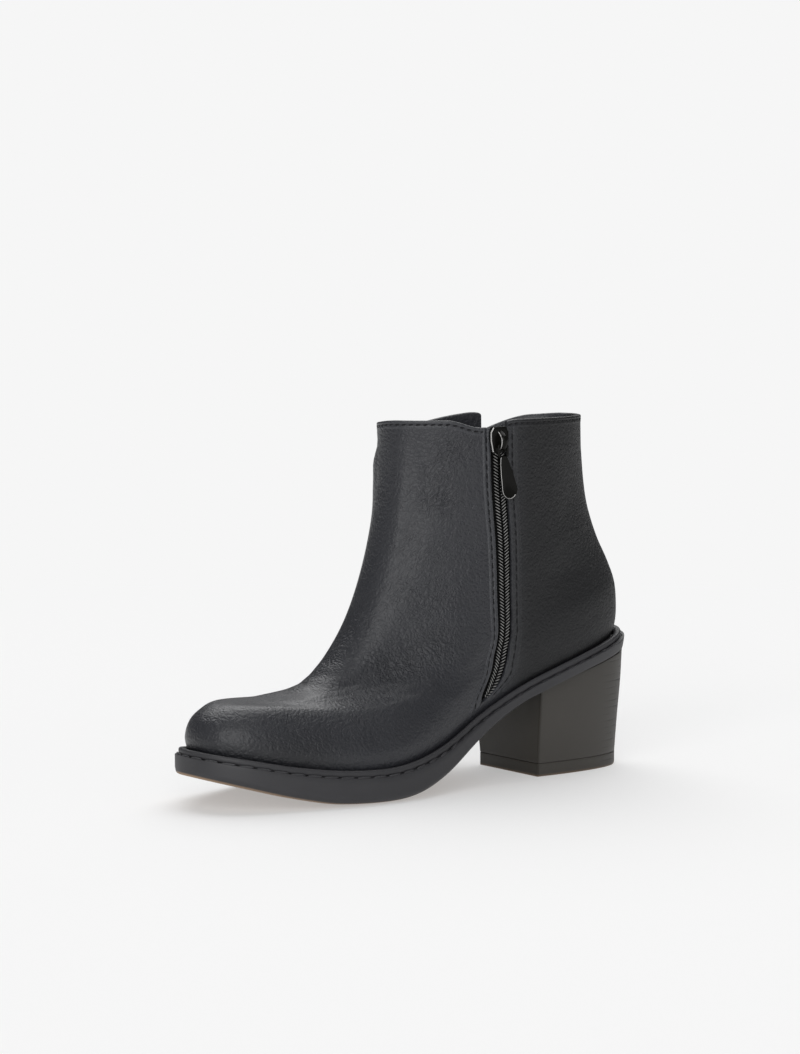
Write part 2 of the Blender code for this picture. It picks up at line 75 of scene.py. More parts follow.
SLIDER_Z = 155.5 * MM
STRAP_THICKNESS = 2.2 * MM
STRAP_START = 322
STRAP_END = 245
STRAP_CORNER = 1.8 * MM
STRAP_RAMP = 0.28
MERGE = 0.00002

# Angles round the foot where the sections give half widths
STATIONS = np.radians([0, 45, 72, 104, 136, 180])

# One row for each section of the last, from the feather line up to above the collar
SECTION_COLUMNS = (
    "front_x", "front_y", "front_z", "back_y", "back_z", "toe_round", "heel_round", "toe_in", "ball_in",
    "waist_in", "heel_in", "toe_out", "ball_out", "waist_out", "heel_out", "hug", "zip",
)
SECTIONS = np.array([
    [5, -114.9, 23.5, 111.5, 61.8, 25, 24, 28, 37, 27, 24, 29.5, 41, 35, 25, 1, 95.5],
    [5, -116, 31, 113.6, 69.5, 27, 25, 29.5, 39, 28.5, 26.5, 31, 43, 36, 27.5, 0.97, 101.5],
    [5, -112.3, 38.9, 113.8, 78.5, 27, 25, 27.5, 36.5, 29.5, 27.5, 28.5, 40.5, 36, 28, 0.90, 103.6],
    [4.5, -101.8, 44.3, 112.6, 88, 25, 24, 23.5, 32, 29.5, 27.5, 24.5, 35.5, 34.5, 27.5, 0.80, 103],
    [3.5, -82, 44.1, 108.6, 98, 21, 22, 19, 29.5, 29.5, 26, 19.5, 31.5, 33, 26.5, 0.68, 100.6],
    [2, -56.5, 48.2, 103.4, 108, 18, 20, 17.5, 28.5, 29.5, 24.5, 18, 29.5, 31.5, 25, 0.48, 95.6],
    [1, -36, 67.5, 98.8, 119, 18, 19, 18.5, 28, 29.5, 23, 19, 28.5, 30.5, 23.5, 0.24, 89.5],
    [0, -22, 96, 95.2, 131, 18, 18, 19.5, 28, 29.5, 22, 20, 28.5, 30, 22.5, 0.08, 84],
    [0, -14, 132, 93.2, 148, 19, 18, 21, 29, 30, 22, 21, 29, 30, 22, 0, 77.5],
    [0, -12, 178, 92.6, 180, 20, 19, 22, 30, 31, 22, 22, 30, 31, 22, 0, 75],
])
LEVELS = np.arange(len(SECTIONS), dtype=float)

# The sole along its length: height of its top and bottom, and how far its edge stands out from the upper
SOLE_COLUMNS = ("y", "top", "bottom", "margin")
SOLE = np.array([
    [-121, 23.2, 16.0, 5.6],
    [-105, 20.2, 11.5, 5.6],
    [-80, 15.2, 4.6, 5.4],
    [-58, 12.6, 0.0, 5.2],
    [-30, 13.0, 0.0, 5.0],
    [-5, 19.2, 8.5, 4.6],
    [20, 30.8, 23.4, 4.0],
    [45, 41.4, 36.7, 4.0],
    [70, 49.6, 45.2, 4.4],
    [95, 56.4, 51.5, 5.4],
    [119, 62.6, 57.2, 7.3],
])

# The heel from its seat down to the floor: half widths at the breast, reach to the back, and roundness
HEEL_COLUMNS = ("depth", "inner", "outer", "back", "power")
HEEL = np.array([
    [0.0, 24.6, 27.6, 118.0, 2.64],
    [0.3, 23.8, 26.4, 117.4, 2.64],
    [0.7, 22.6, 23.8, 115.8, 2.60],
    [1.0, 22.0, 22.0, 114.8, 2.55],
])

# Heights of the strap's two edges along its way back, as shares of its length
STRAP = np.array([
    [0.00, 150.0, 116.0],
    [0.30, 156.4, 122.0],
    [0.57, 161.0, 128.0],
    [0.80, 163.7, 132.5],
    [1.00, 165.2, 135.5],
])

# Soft folds of the leather. Each runs from one place (angle, height) to another. Width is its spread,
# and depth is how deep it sinks, or stands out where it is below zero.
FOLD_COLUMNS = ("angle", "height", "to_angle", "to_height", "width", "depth")
FOLDS = np.array([
    # Pinch at the front of the collar and the swell under it
    [312, 152, 346, 153.5, 3, 0.6],
    [312, 144.5, 348, 144, 5.5, -1.2],
    [312, 136, 348, 134, 9, -1.1],
    # Long upright waves of the shaft
    [29, 160, 33, 98, 4.5, 1],
    [16, 158, 19, 105, 5.5, -0.45],
    [52, 152, 50, 96, 10, -0.5],
    [128, 150, 132, 112, 9, 0.6],
    [160, 150, 158, 120, 9, -0.4],
    [215, 150, 210, 105, 9, 0.6],
    [300, 140, 296, 95, 8, 0.7],
    # Slanting pulls below the collar and beside the zip
    [36, 152, 46, 139, 1.8, 0.30],
    [44, 148, 52, 141, 1.6, 0.28],
    [47, 137, 52, 128, 1.8, 0.32],
    [41, 128, 50, 133, 1.8, 0.25],
    [56, 150, 62, 146, 1.6, 0.22],
    # Flex creases across the vamp and instep, short and shallow, each pair with a ridge between
    [334, 45.5, 16, 46.5, 1.7, 0.28],
    [330, 48, 22, 49, 1.7, 0.30],
    [338, 47, 14, 47.8, 1.6, -0.22],
    [336, 52, 24, 53, 2, 0.30],
    [340, 58, 20, 59, 2.4, 0.30],
    [30, 43.5, 44, 46, 1.8, 0.30],
    [34, 45.5, 50, 50, 1.9, -0.28],
    [28, 47, 46, 52.5, 1.9, 0.32],
    [40, 51, 58, 58, 2, -0.25],
    [36, 53, 56, 60.5, 2, 0.30],
    [52, 60, 68, 69, 2.4, 0.28],
    [316, 52, 338, 50, 2, 0.32],
    [312, 58, 334, 57, 2.2, 0.32],
    [308, 47, 330, 46, 2, 0.28],
    # Small dents over the toe
    [12, 41.5, 26, 41, 2.6, 0.22],
    [10, 38.5, 30, 38, 3.2, 0.22],
    [336, 41, 352, 41.5, 2.6, 0.20],
    # Hollow of the ankle on both sides
    [112, 92, 140, 96, 8, 0.8],
    [222, 92, 250, 90, 8, 0.8],
    # Hollow over the waist, between vamp and quarter
    [70, 62, 84, 44, 9, 0.7],
])
FOLD_STEPS = 9

# Patches of fine wrinkles: angle and height of the middle, reach, and strength
PATCHES = np.array([
    [38, 41, 11, 0.6], [34, 47, 13, 0.75], [49, 54, 13, 1.0], [57, 59, 11, 0.9], [66, 67, 13, 0.8],
    [350, 47, 14, 0.6], [12, 49, 11, 0.6], [20, 42, 11, 0.35], [16, 34, 9, 0.25], [60, 38, 14, 0.4],
    [46, 129, 11, 1.0], [50, 150, 10, 0.9], [44, 140, 9, 0.8], [60, 152, 8, 0.6], [30, 110, 12, 0.5],
    [45, 105, 13, 0.5], [53, 85, 15, 0.6], [35, 90, 12, 0.5], [10, 75, 14, 0.4],
    [104, 127, 14, 0.4], [120, 140, 13, 0.4], [140, 110, 14, 0.3], [180, 120, 16, 0.4],
    [300, 60, 16, 0.8], [320, 50, 15, 0.9], [330, 45, 13, 0.8], [290, 120, 16, 0.6], [250, 100, 16, 0.5],
])
WRINKLES_EVERYWHERE = 0.22


def smooth(knots, values, at):
    """A smooth curve through values (last axis) at the knots, read at the places `at`."""
    at = np.asarray(at, float)
    values = np.broadcast_to(values, at.shape + (len(knots),))
    slopes = np.gradient(values, knots, axis=-1)
    place = np.clip(at, knots[0], knots[-1])
    low = np.clip(np.searchsorted(knots, place, side="right") - 1, 0, len(knots) - 2)
    width = knots[low + 1] - knots[low]
    s = (place - knots[low]) / width

    def pick(table, index):
        return np.take_along_axis(table, index[..., None], -1)[..., 0]

    start, end = pick(values, low), pick(values, low + 1)
    lean_in, lean_out = pick(slopes, low) * width, pick(slopes, low + 1) * width
    rest = (3 * s ** 2 - 2 * s ** 3) * (end - start)
    return start + rest + (s ** 3 - 2 * s ** 2 + s) * lean_in + (s ** 3 - s ** 2) * lean_out


def sole_value(column, y):
    """A column of the sole's table at the place y along the boot."""
    return smooth(SOLE[:, 0] * MM, SOLE[:, SOLE_COLUMNS.index(column)] * MM, y)


def sole_rounding(y):
    """Where the sole's lower edge is rounded: 1 in front, fading to 0 at the heel."""
    return np.clip((ROUNDING_END_Y - y) / ROUNDING_FADE, 0, 1)


def sole_bottom(y):
    """The height of the sole's bottom, which leaves the floor in a soft curve on both sides of the ball."""
    line = sole_value("bottom", y)
    soft = (line + np.sqrt(line ** 2 + SOLE_SOFTNESS ** 2)) / 2 - SOLE_SINK
    return line + (soft - line) * sole_rounding(y)


def section(level):
    """The columns of the section at a level, by name."""
    level = np.asarray(level, float)
    row = smooth(LEVELS, SECTIONS.T, level[..., None] + np.zeros(len(SECTION_COLUMNS)))
    return {name: row[..., i] for i, name in enumerate(SECTION_COLUMNS)}


def last(angle, level):
    """The outer face of the upper: angle runs from the toe (0) over the inner side to the heel (pi)."""
    angle, level = np.broadcast_arrays(np.asarray(angle, float), np.asarray(level, float))
    row = section(level)
    inner = np.sin(angle) >= 0
    turn = np.arccos(np.cos(angle))
    length = row["back_y"] - row["front_y"]
    share = (1 - np.cos(turn)) / 2
    bulge = [np.sqrt(row["toe_round"] * length / 2)]
    for name, station in zip(("toe", "ball", "waist", "heel"), STATIONS[1:-1]):
        bulge.append(np.where(inner, row[name + "_in"], row[name + "_out"]) / np.sin(station))
    bulge.append(np.sqrt(row["heel_round"] * length / 2))
    half = smooth(STATIONS, np.stack(bulge, -1), turn) * np.sin(turn)
    y = row["front_y"] + share * length
    z = row["front_z"] + share * (row["back_z"] - row["front_z"])
    # The sole's curve away from a straight line between its ends, carried up into the lower sections
    foot = dict(zip(SECTION_COLUMNS, SECTIONS[0]))
    ends = sole_value("top", np.array([foot["front_y"], foot["back_y"]]) * MM) / MM
    along = foot["front_y"] + share * (foot["back_y"] - foot["front_y"])
    z = z + row["hug"] * (sole_value("top", along * MM) / MM - ends[0] - share * (ends[1] - ends[0]))
    x = np.where(inner, half, -half) + row["front_x"] * (1 - share) ** 2
    return np.stack([x, y, z], -1) * MM


def unit(vectors):
    return vectors / np.linalg.norm(vectors, axis=-1, keepdims=True)


def nearest(values):
    return np.rint(values).astype(int)


def blunt(values, power):
    """Values from -1 to 1, each raised to a power and keeping its sign."""
    return np.sign(values) * np.abs(values) ** power


def normal(angle, level, step=0.01):
    """The outward unit normal of the last."""
    round_way = last(angle + step, level) - last(angle - step, level)
    up_way = last(angle, np.asarray(level) + step) - last(angle, np.asarray(level) - step)
    return unit(np.cross(round_way, up_way))


def level_at_height(angle, z):
    """The level at which the last reaches a height, by halving."""
    low = np.zeros(np.shape(angle))
    high = low + LEVELS[-1]
    for _ in range(30):
        middle = (low + high) / 2
        below = last(angle, middle)[..., 2] < z
        low, high = np.where(below, middle, low), np.where(below, high, middle)
    return low


def dip(angle, depth, centre, half_width):
    """A smooth dip of the collar round the centre angle."""
    turn = (angle - math.radians(centre) + math.pi) % (2 * math.pi) - math.pi
    away = np.abs(turn) / math.radians(half_width)
    return depth * np.cos(np.minimum(away, 1) * math.pi / 2) ** 2


def collar_height(angle):
    share = (1 - np.cos(angle)) / 2
    z = COLLAR_FRONT_Z + share * (COLLAR_BACK_Z - COLLAR_FRONT_Z)
    for place in (ZIP_DIP, OUTER_DIP, FRONT_DIP, BACK_DIP):
        z = z - dip(angle, *place)
    return z


def zip_angle(level):
    return np.radians(section(level)["zip"])


def zip_way(level, rise):
    """The way up along the zip, from a rise below a level to a rise above it."""
    return last(zip_angle(level + rise), level + rise) - last(zip_angle(level - rise), level - rise)


def zip_top(drop):
    """The level of the zip at a drop below the collar."""
    angle = zip_angle(LEVELS[-2])
    return level_at_height(angle, collar_height(angle) - drop)


def slot_half(level):
    """Half width of the zip's slot, narrowing to its lower end."""
    open_share = np.clip((level - SLOT_END_LEVEL) / (SLOT_TAPER_LEVEL - SLOT_END_LEVEL), 0, 1)
    return SLOT_END_HALF + (SLOT_HALF - SLOT_END_HALF) * np.sin(open_share * math.pi / 2)


def angle_beside_zip(level, reach):
    """The angle at a distance from the middle of the zip, measured square to the zip."""
    middle = zip_angle(level)
    step = 0.005
    round_way = (last(middle + step, level) - last(middle - step, level)) / (2 * step)
    up_way = unit(zip_way(level, 0.9))
    return middle + reach / np.linalg.norm(np.cross(round_way, up_way), axis=-1)


def edge_points(angles, out_by):
    """The sole's edge in plan: the feather line moved outwards by the sole's margin plus out_by."""
    base = last(angles, 0 * angles)
    step = 0.01
    way = last(angles + step, 0 * angles) - last(angles - step, 0 * angles)
    out = unit(np.stack([way[:, 1], -way[:, 0]], -1))
    reach = sole_value("margin", base[:, 1]) + out_by
    return base[:, :2] + out * reach[:, None]


def plan_centre():
    """The middle of the sole's outline in plan, which is the boot's origin."""
    angles = np.linspace(math.radians(3), math.radians(177), 46)
    rim = np.concatenate([edge_points(angles, 0.0), edge_points(2 * math.pi - angles, 0.0)])
    return np.array([*(rim.min(axis=0) + rim.max(axis=0)) / 2, 0.0])


CENTRE = plan_centre()
HEEL_FRONT = HEEL_BREAST_Y - CENTRE[1]


def fold_depth(points):
    """How far the folds sink the leather at points of the last; below zero where they lift it."""
    sink = np.zeros(len(points))
    for row in FOLDS:
        fold = dict(zip(FOLD_COLUMNS, row))
        turn = (fold["to_angle"] - fold["angle"] + 180) % 360 - 180
        share = np.linspace(0, 1, FOLD_STEPS)
        angle = np.radians(fold["angle"] + share * turn)
        height = fold["height"] + share * (fold["to_height"] - fold["height"])
        line = last(angle, level_at_height(angle, height * MM))
        best = np.full(len(points), np.inf)
        along = np.zeros(len(points))
        for k in range(FOLD_STEPS - 1):
            way = line[k + 1] - line[k]
            t = np.clip((points - line[k]) @ way / (way @ way), 0, 1)
            away = np.linalg.norm(points - line[k] - t[:, None] * way, axis=1)
            nearer = away < best
            best = np.where(nearer, away, best)
            along = np.where(nearer, (k + t) / (FOLD_STEPS - 1), along)
        fade = np.sin(np.clip(along, 0.02, 0.98) * math.pi) ** 0.7
        sink += fold["depth"] * MM * fade * np.exp(-(best / (fold["width"] * MM)) ** 2)
    return sink


def wrinkle_share(points):
    """How strongly fine wrinkles show at points of the last, from 0 to 1."""
    share = np.full(len(points), WRINKLES_EVERYWHERE)
    for angle, height, reach, strength in PATCHES:
        turn = np.radians(angle)
        middle = last(turn, level_at_height(turn, height * MM))
        away = np.linalg.norm(points - middle, axis=1) / (reach * MM)
        share = np.maximum(share, strength * np.exp(-away ** 2))
    return share


def on_upper(angle, level, out=0.0):
    """Points on the folded leather, lifted off it by out."""
    angle, level = np.broadcast_arrays(np.asarray(angle, float), np.asarray(level, float))
    base, way = last(angle, level), normal(angle, level)
    sink = fold_depth(base.reshape(-1, 3)).reshape(angle.shape)
    return base + way * (out - sink)[..., None]


# Modelling


def select_none():
    if bpy.context.mode != "OBJECT":
        bpy.ops.object.mode_set(mode="OBJECT")
    bpy.ops.object.select_all(action="DESELECT")


def select_only(obj):
    select_none()
    obj.select_set(True)
    bpy.context.view_layer.objects.active = obj


def points_of(obj):
    flat = np.empty(len(obj.data.vertices) * 3)
    obj.data.vertices.foreach_get("co", flat)
    return flat.reshape(-1, 3)


def move_points(obj, places):
    obj.data.vertices.foreach_set("co", np.ascontiguousarray(places, float).ravel())
    obj.data.update()


def add_object(name, data):
    obj = bpy.data.objects.new(name, data)
    bpy.context.scene.collection.objects.link(obj)
    return obj


def primitive(name, add, **settings):
    """A plain shape, made by one of the add operators."""
    select_none()
    add(**settings)
    obj = bpy.context.object
    obj.name = obj.data.name = name
    return obj


def disc(name, corners, radius):
    add = bpy.ops.mesh.primitive_circle_add
    return primitive(name, add, vertices=corners, radius=radius, fill_type="NGON")


def grid(name, columns, rows, place, keep=None):
    """A grid with its points moved to place(u, v) in the boot; keep(u, v) tells which faces stay."""
    add = bpy.ops.mesh.primitive_grid_add
    obj = primitive(name, add, x_subdivisions=columns, y_subdivisions=rows, size=1)
    if keep is not None:
        bpy.ops.object.mode_set(mode="EDIT")
        bpy.ops.mesh.select_mode(type="FACE")
        bpy.ops.mesh.select_all(action="DESELECT")
        bpy.ops.object.mode_set(mode="OBJECT")
        for face in obj.data.polygons:
            face.select = not keep(face.center[0] + 0.5, face.center[1] + 0.5)
        bpy.ops.object.mode_set(mode="EDIT")
        bpy.ops.mesh.delete(type="FACE")
        bpy.ops.object.mode_set(mode="OBJECT")
    flat = points_of(obj) + 0.5
    move_points(obj, place(flat[:, 0], flat[:, 1]) - CENTRE)
    return obj


def edit_all(obj):
    """Goes into edit mode with all of a piece selected."""
    select_only(obj)
    bpy.ops.object.mode_set(mode="EDIT")
    bpy.ops.mesh.select_all(action="SELECT")


def weld(obj, close=False):
    """Merges points that lie together, closes open ends, and on a closed piece turns the faces outwards."""
    edit_all(obj)
    bpy.ops.mesh.remove_doubles(threshold=MERGE)
    if close:
        bpy.ops.mesh.fill_holes(sides=0)
        bpy.ops.mesh.select_all(action="SELECT")
        bpy.ops.mesh.normals_make_consistent(inside=False)
    bpy.ops.object.mode_set(mode="OBJECT")


def apply(obj, kind, **settings):
    """Adds a modifier and applies it."""
    select_only(obj)
    step = obj.modifiers.new(kind.lower(), kind)
    for name, value in settings.items():
        setattr(step, name, value)
    bpy.ops.object.modifier_apply(modifier=step.name)


def round_edges(obj, width, degrees):
    apply(obj, "BEVEL", width=width, segments=3, limit_method="ANGLE", angle_limit=math.radians(degrees))


def smooth_faces(obj, degrees=40):
    select_only(obj)
    bpy.ops.object.shade_smooth_by_angle(angle=math.radians(degrees))


def loft(name, columns, profile, place):
    """A closed band: columns along it and a closed profile round it; open ends are capped."""
    count = len(profile)
    obj = grid(name, columns, count, lambda u, v: place(u, nearest(v * count) % count))
    weld(obj, close=True)
    smooth_faces(obj)
    return obj


def copies(name, seed, places, along, across, out):
    """One mesh with a copy of the seed at each place, turned to its three ways; the seed is used up."""
    base = points_of(seed)
    faces = [list(face.vertices) for face in seed.data.polygons]
    axes = np.stack([along, across, out], 1)
    verts = places[:, None] - CENTRE + np.einsum("kj,njc->nkc", base, axes)
    mesh = bpy.data.meshes.new(name)
    mesh.from_pydata(
        verts.reshape(-1, 3).tolist(), [],
        [[i + n * len(base) for i in face] for n in range(len(places)) for face in faces],
    )
    obj = add_object(name, mesh)
    bpy.data.objects.remove(seed)
    smooth_faces(obj, 60)
    return obj


THREAD_BLUNTNESS = 0.7


def thread_seed(length, width, height):
    """One stitch: a ball drawn out along X, with blunt ends as on a pulled thread."""
    seed = primitive("stitch", bpy.ops.mesh.primitive_uv_sphere_add, segments=8, ring_count=6, radius=1)
    ball = points_of(seed)
    ball[:, 0] = blunt(ball[:, 0], THREAD_BLUNTNESS)
    move_points(seed, ball * np.array([length, width, height]) / 2)
    return seed


def walk(path, ways, pitch):
    """Evenly spaced places on a path, with the ways along it, across it and out of the surface."""
    run = np.concatenate([[0], np.cumsum(np.linalg.norm(np.diff(path, axis=0), axis=1))])
    count = max(int(run[-1] / pitch), 2)
    at = (np.arange(count) + 0.5) * run[-1] / count

    def read(table, at):
        return np.stack([np.interp(at, run, table[:, i]) for i in range(3)], -1)

    out = unit(read(ways, at))
    along = unit(read(path, at + pitch / 4) - read(path, at - pitch / 4))
    along = unit(along - out * np.sum(along * out, -1, keepdims=True))
    return read(path, at), along, np.cross(out, along), out


# Stitches: pitch, length, width, height and turn
COLLAR_STITCH = (3.3 * MM, 2.3 * MM, 0.85 * MM, 0.5 * MM, 0.22)
ZIP_STITCH = (3.9 * MM, 2.9 * MM, 0.75 * MM, 0.5 * MM, 0.06)
STRAP_STITCH = (2.9 * MM, 2.3 * MM, 0.55 * MM, 0.45 * MM, 0.12)
WELT_FOOT_STITCH = (7.6 * MM, 6.9 * MM, 1.2 * MM, 1.08 * MM, 0.02)
WELT_HEEL_STITCH = (7.6 * MM, 5.6 * MM, 0.6 * MM, 0.54 * MM, 0.02)


def stitch_row(name, path, ways, pitch, length, width, height, skew):
    """Stitches along a path, each turned a little by skew."""
    places, along, across, out = walk(path, ways, pitch)
    turned = along * math.cos(skew) + across * math.sin(skew)
    return copies(name, thread_seed(length, width, height), places, turned, np.cross(out, turned), out)


def join(name, pieces):
    select_none()
    for piece in pieces:
        piece.select_set(True)
    bpy.context.view_layer.objects.active = pieces[0]
    bpy.ops.object.join()
    pieces[0].name = pieces[0].data.name = name
    return pieces[0]


# Materials


class Value:
    """A node's output that takes part in sums; each operation adds a Math node."""

    def __init__(self, finish, socket):
        self.finish = finish
        self.socket = socket

    def maths(self, operation, first, second=0.0):
        return self.finish.node("ShaderNodeMath", {"operation": operation}, {0: first, 1: second})

    def __add__(self, other):
        return self.maths("ADD", self, other)

    __radd__ = __add__

    def __sub__(self, other):
        return self.maths("SUBTRACT", self, other)

    def __rsub__(self, other):
        return self.maths("SUBTRACT", other, self)

    def __mul__(self, other):
        return self.maths("MULTIPLY", self, other)

    __rmul__ = __mul__

    def __pow__(self, other):
        return self.maths("POWER", self, other)

    def __abs__(self):
        return self.maths("ABSOLUTE", self)

    def low(self, other):
        return self.maths("MINIMUM", self, other)

    def sine(self):
        return self.maths("SINE", self)

    def wave(self, length):
        """A sine wave along the value."""
        return (self * (2 * math.pi / length)).sine()

    def between(self, start, end):
        """A soft step from 0 to 1 as the value goes from start to end."""
        return self.finish.node(
            "ShaderNodeMapRange", {"interpolation_type": "SMOOTHSTEP"},
            {"Value": self, "From Min": start, "From Max": end, "To Min": 0.0, "To Max": 1.0},
        )


class Nodes:
    """A node tree and the ways to add to it."""

    def __init__(self, tree):
        self.tree = tree

    def feed(self, socket, value):
        if isinstance(value, Value):
            self.tree.links.new(value.socket, socket)
        else:
            socket.default_value = value

    def node(self, kind, settings, inputs, output=0):
        """Adds a node of any kind, sets it up, feeds its inputs and gives one of its outputs."""
        made = self.tree.nodes.new(kind)
        for name, value in settings.items():
            setattr(made, name, value)
        for key, value in inputs.items():
            self.feed(made.inputs[key], value)
        return Value(self, made.outputs[output])


class Finish(Nodes):
    """A material: its Principled shader and the nodes that feed it."""

    def __init__(self, name, **constants):
        self.material = bpy.data.materials.new(name)
        self.material.use_nodes = True
        super().__init__(self.material.node_tree)
        self.shader = self.tree.nodes["Principled BSDF"]
        for socket, value in constants.items():
            self.shader.inputs[socket.replace("_", " ")].default_value = value
        self.place = self.node("ShaderNodeTexCoord", {}, {}, "Object")

    def attribute(self, name):
        """A share that was written at each point of the mesh."""
        return self.node("ShaderNodeAttribute", {"attribute_name": name}, {}, "Fac")

    def axes(self):
        """The three parts of the place."""
        parts = self.node("ShaderNodeSeparateXYZ", {}, {0: self.place})
        return [Value(self, socket) for socket in parts.socket.node.outputs]

    def stretched(self, scale, turn=(0.0, 0.0, 0.0)):
        """The place, drawn out along turned axes."""
        inputs = {"Vector": self.place, "Scale": scale, "Rotation": turn}
        return self.node("ShaderNodeMapping", {"vector_type": "TEXTURE"}, inputs)

    def noise(self, size, detail=3.0, rough=0.55, twist=0.0, vector=None):
        """Noise with blotches of about the given size."""
        inputs = {"Scale": 1 / size, "Detail": detail, "Roughness": rough, "Distortion": twist}
        return self.node("ShaderNodeTexNoise", {}, {"Vector": vector or self.place, **inputs})

    def cells(self, vector, size, feature="DISTANCE_TO_EDGE"):
        inputs = {"Vector": vector, "Scale": 1 / size}
        return self.node("ShaderNodeTexVoronoi", {"feature": feature}, inputs)

    def blend(self, share, first, second):
        """A colour between two colours."""
        return self.node("ShaderNodeMix", {"data_type": "RGBA"}, {0: share, 6: first, 7: second}, 2)

    def finish(self, colour=None, roughness=None, height=None):
        """Feeds the shader: colour, roughness, and the relief's height in metres."""
        if colour is not None:
            self.feed(self.shader.inputs["Base Color"], colour)
        if roughness is not None:
            self.feed(self.shader.inputs["Roughness"], roughness)
        if height is not None:
            bump = self.node("ShaderNodeBump", {}, {"Strength": 1.0, "Distance": 1.0, "Height": height})
            self.feed(self.shader.inputs["Normal"], bump)
        return self.material


UNDERSIDE_TAN = (0.26, 0.175, 0.11, 1)


def grey(tone):
    return (tone, tone, tone, 1)


def charcoal_leather(name, shade, light):
    """Satin coated leather, bluish charcoal: pebbled grain, patches of wrinkles, dull behind the zip, and
    painted shade in the creases, over the lower toe and behind the zip.
    """
    f = Finish(name, Coat_Roughness=0.25, Specular_IOR_Level=0.38)
    x, y, z = f.axes()
    warp = f.node("ShaderNodeTexNoise", {}, {"Vector": f.place, "Scale": 420.0, "Detail": 2.0}, "Color")
    bent = f.node(
        "ShaderNodeVectorMath", {"operation": "MULTIPLY_ADD"},
        {0: warp, 1: (0.0012, 0.0012, 0.0012), 2: f.place},
    )
    grain = (f.cells(bent, 1.9 * MM) * 3.0).low(1.0)
    fine = f.noise(1.9 * MM, 2.0)
    across = f.noise(2.3 * MM, 2.0, 0.5, 0.4, f.stretched((2.6, 1.0, 1.0)))
    cracked = f.noise(2.1 * MM, 2.0, 0.5, 0.6, f.stretched((1.0, 2.4, 1.0), (0.75, 0.0, 0.0)))
    foot = z.between(0.080, 0.062)
    line = across * foot + cracked * (1 - foot)
    crease = (1 - abs(line * 2 - 1)) ** 5.0
    wrinkle = f.attribute("wrinkle")
    swell = f.noise(9 * MM, 2.0)
    height = grain * (0.12 * MM) + fine * (0.32 * MM) - crease * wrinkle * (0.42 * MM) + swell * (0.30 * MM)
    mottle = f.noise(14 * MM, 4.0, 0.6)
    worn = f.blend(mottle, shade, light)
    # Painted shade: the colour darkens in the creases of the wrinkles.
    painted_shade_colour = f.blend(crease * wrinkle * 0.3, worn, (0.0070, 0.0072, 0.0090, 1))
    # The inner side behind the zip: duller there, with less coat and more roughness, and its colour
    # darkened as painted shade.
    dull = y.between(0.024, 0.050) * x.between(-0.004, 0.004)
    # Painted shade over the lower toe, towards the sole.
    toe = z.between(0.036, 0.022) * y.between(-0.050, -0.080)
    painted_shade_colour = f.blend(toe * 0.7, painted_shade_colour, (0.0060, 0.0063, 0.0080, 1))
    colour = f.blend(dull * 0.9, painted_shade_colour, (0.0050, 0.0052, 0.0058, 1))
    roughness = 0.34 + mottle * 0.10 + fine * 0.10 + dull * 0.12
    f.feed(f.shader.inputs["Coat Weight"], 0.14 - dull * 0.14)
    return f.finish(colour, roughness, height)


def sole_rubber():
    """Moulded rubber, dull charcoal, with a tan underside that shows as a thin line at the lower edge."""
    f = Finish("sole_rubber", Specular_IOR_Level=0.45)
    grain = f.noise(0.7 * MM, 3.0)
    rub = f.noise(16 * MM, 4.0, 0.6)
    colour = f.blend(rub, (0.024, 0.024, 0.0270, 1), (0.038, 0.0376, 0.0410, 1))
    colour = f.blend(f.attribute("underside"), colour, UNDERSIDE_TAN)
    return f.finish(colour, 0.46 + rub * 0.16, grain * (0.04 * MM) + rub * (0.06 * MM))


def heel_rubber():
    """The heel's covering: fine flat lines like a stack of lifts, which show most towards the back."""
    f = Finish("heel_rubber", Specular_IOR_Level=0.45)
    _, y, z = f.axes()
    wobble = f.noise(12 * MM, 2.0, vector=f.stretched((3.3, 3.3, 0.5)))
    lines = ((z * (2 * math.pi / (3.1 * MM)) + wobble * 2.2).sine() * 0.5 + 0.5) ** 6.0
    patchy = f.noise(7 * MM, 2.0, vector=f.stretched((1.7, 1.7, 0.6))).between(0.35, 0.6)
    back = y.between(0.094, 0.114) * patchy
    rub = f.noise(13 * MM, 4.0, 0.6)
    grain = f.noise(0.6 * MM, 2.0)
    colour = f.blend(rub, (0.034, 0.0305, 0.0255, 1), (0.046, 0.0420, 0.0365, 1))
    colour = f.blend(lines * back * 0.6, colour, (0.008, 0.0075, 0.007, 1))
    breast = y.between(HEEL_FRONT + 1.5 * MM, HEEL_FRONT + 0.2 * MM)
    colour = f.blend(breast * 0.9, colour, (0.010, 0.0078, 0.0038, 1))
    colour = f.blend(f.attribute("underside"), colour, UNDERSIDE_TAN)
    height = grain * (0.03 * MM) - lines * back * (0.16 * MM) + rub * (0.05 * MM)
    return f.finish(colour, 0.44 + rub * 0.14, height)


def lining_cloth():
    """A fine woven lining."""
    f = Finish("lining_cloth", Specular_IOR_Level=0.15)
    x, y, z = f.axes()
    weave = (x + y).wave(0.7 * MM) * z.wave(0.7 * MM)
    wear = f.noise(20 * MM, 4.0)
    colour = f.blend(wear, (0.007, 0.007, 0.0075, 1), (0.014, 0.0135, 0.014, 1))
    return f.finish(colour, 0.82 + wear * 0.1, weave * (0.05 * MM) + wear * (0.2 * MM))


def foot_bed_leather():
    """The foot bed: smooth lining leather, dark taupe, with a dull rub in broad patches."""
    f = Finish("foot_bed_leather", Specular_IOR_Level=0.35)
    pores = f.cells(f.place, 0.9 * MM, "F1")
    wear = f.noise(24 * MM, 4.0)
    colour = f.blend(wear, (0.050, 0.043, 0.037, 1), (0.085, 0.074, 0.064, 1))
    return f.finish(colour, 0.58 + wear * 0.18, pores * (0.04 * MM) + wear * (0.25 * MM))


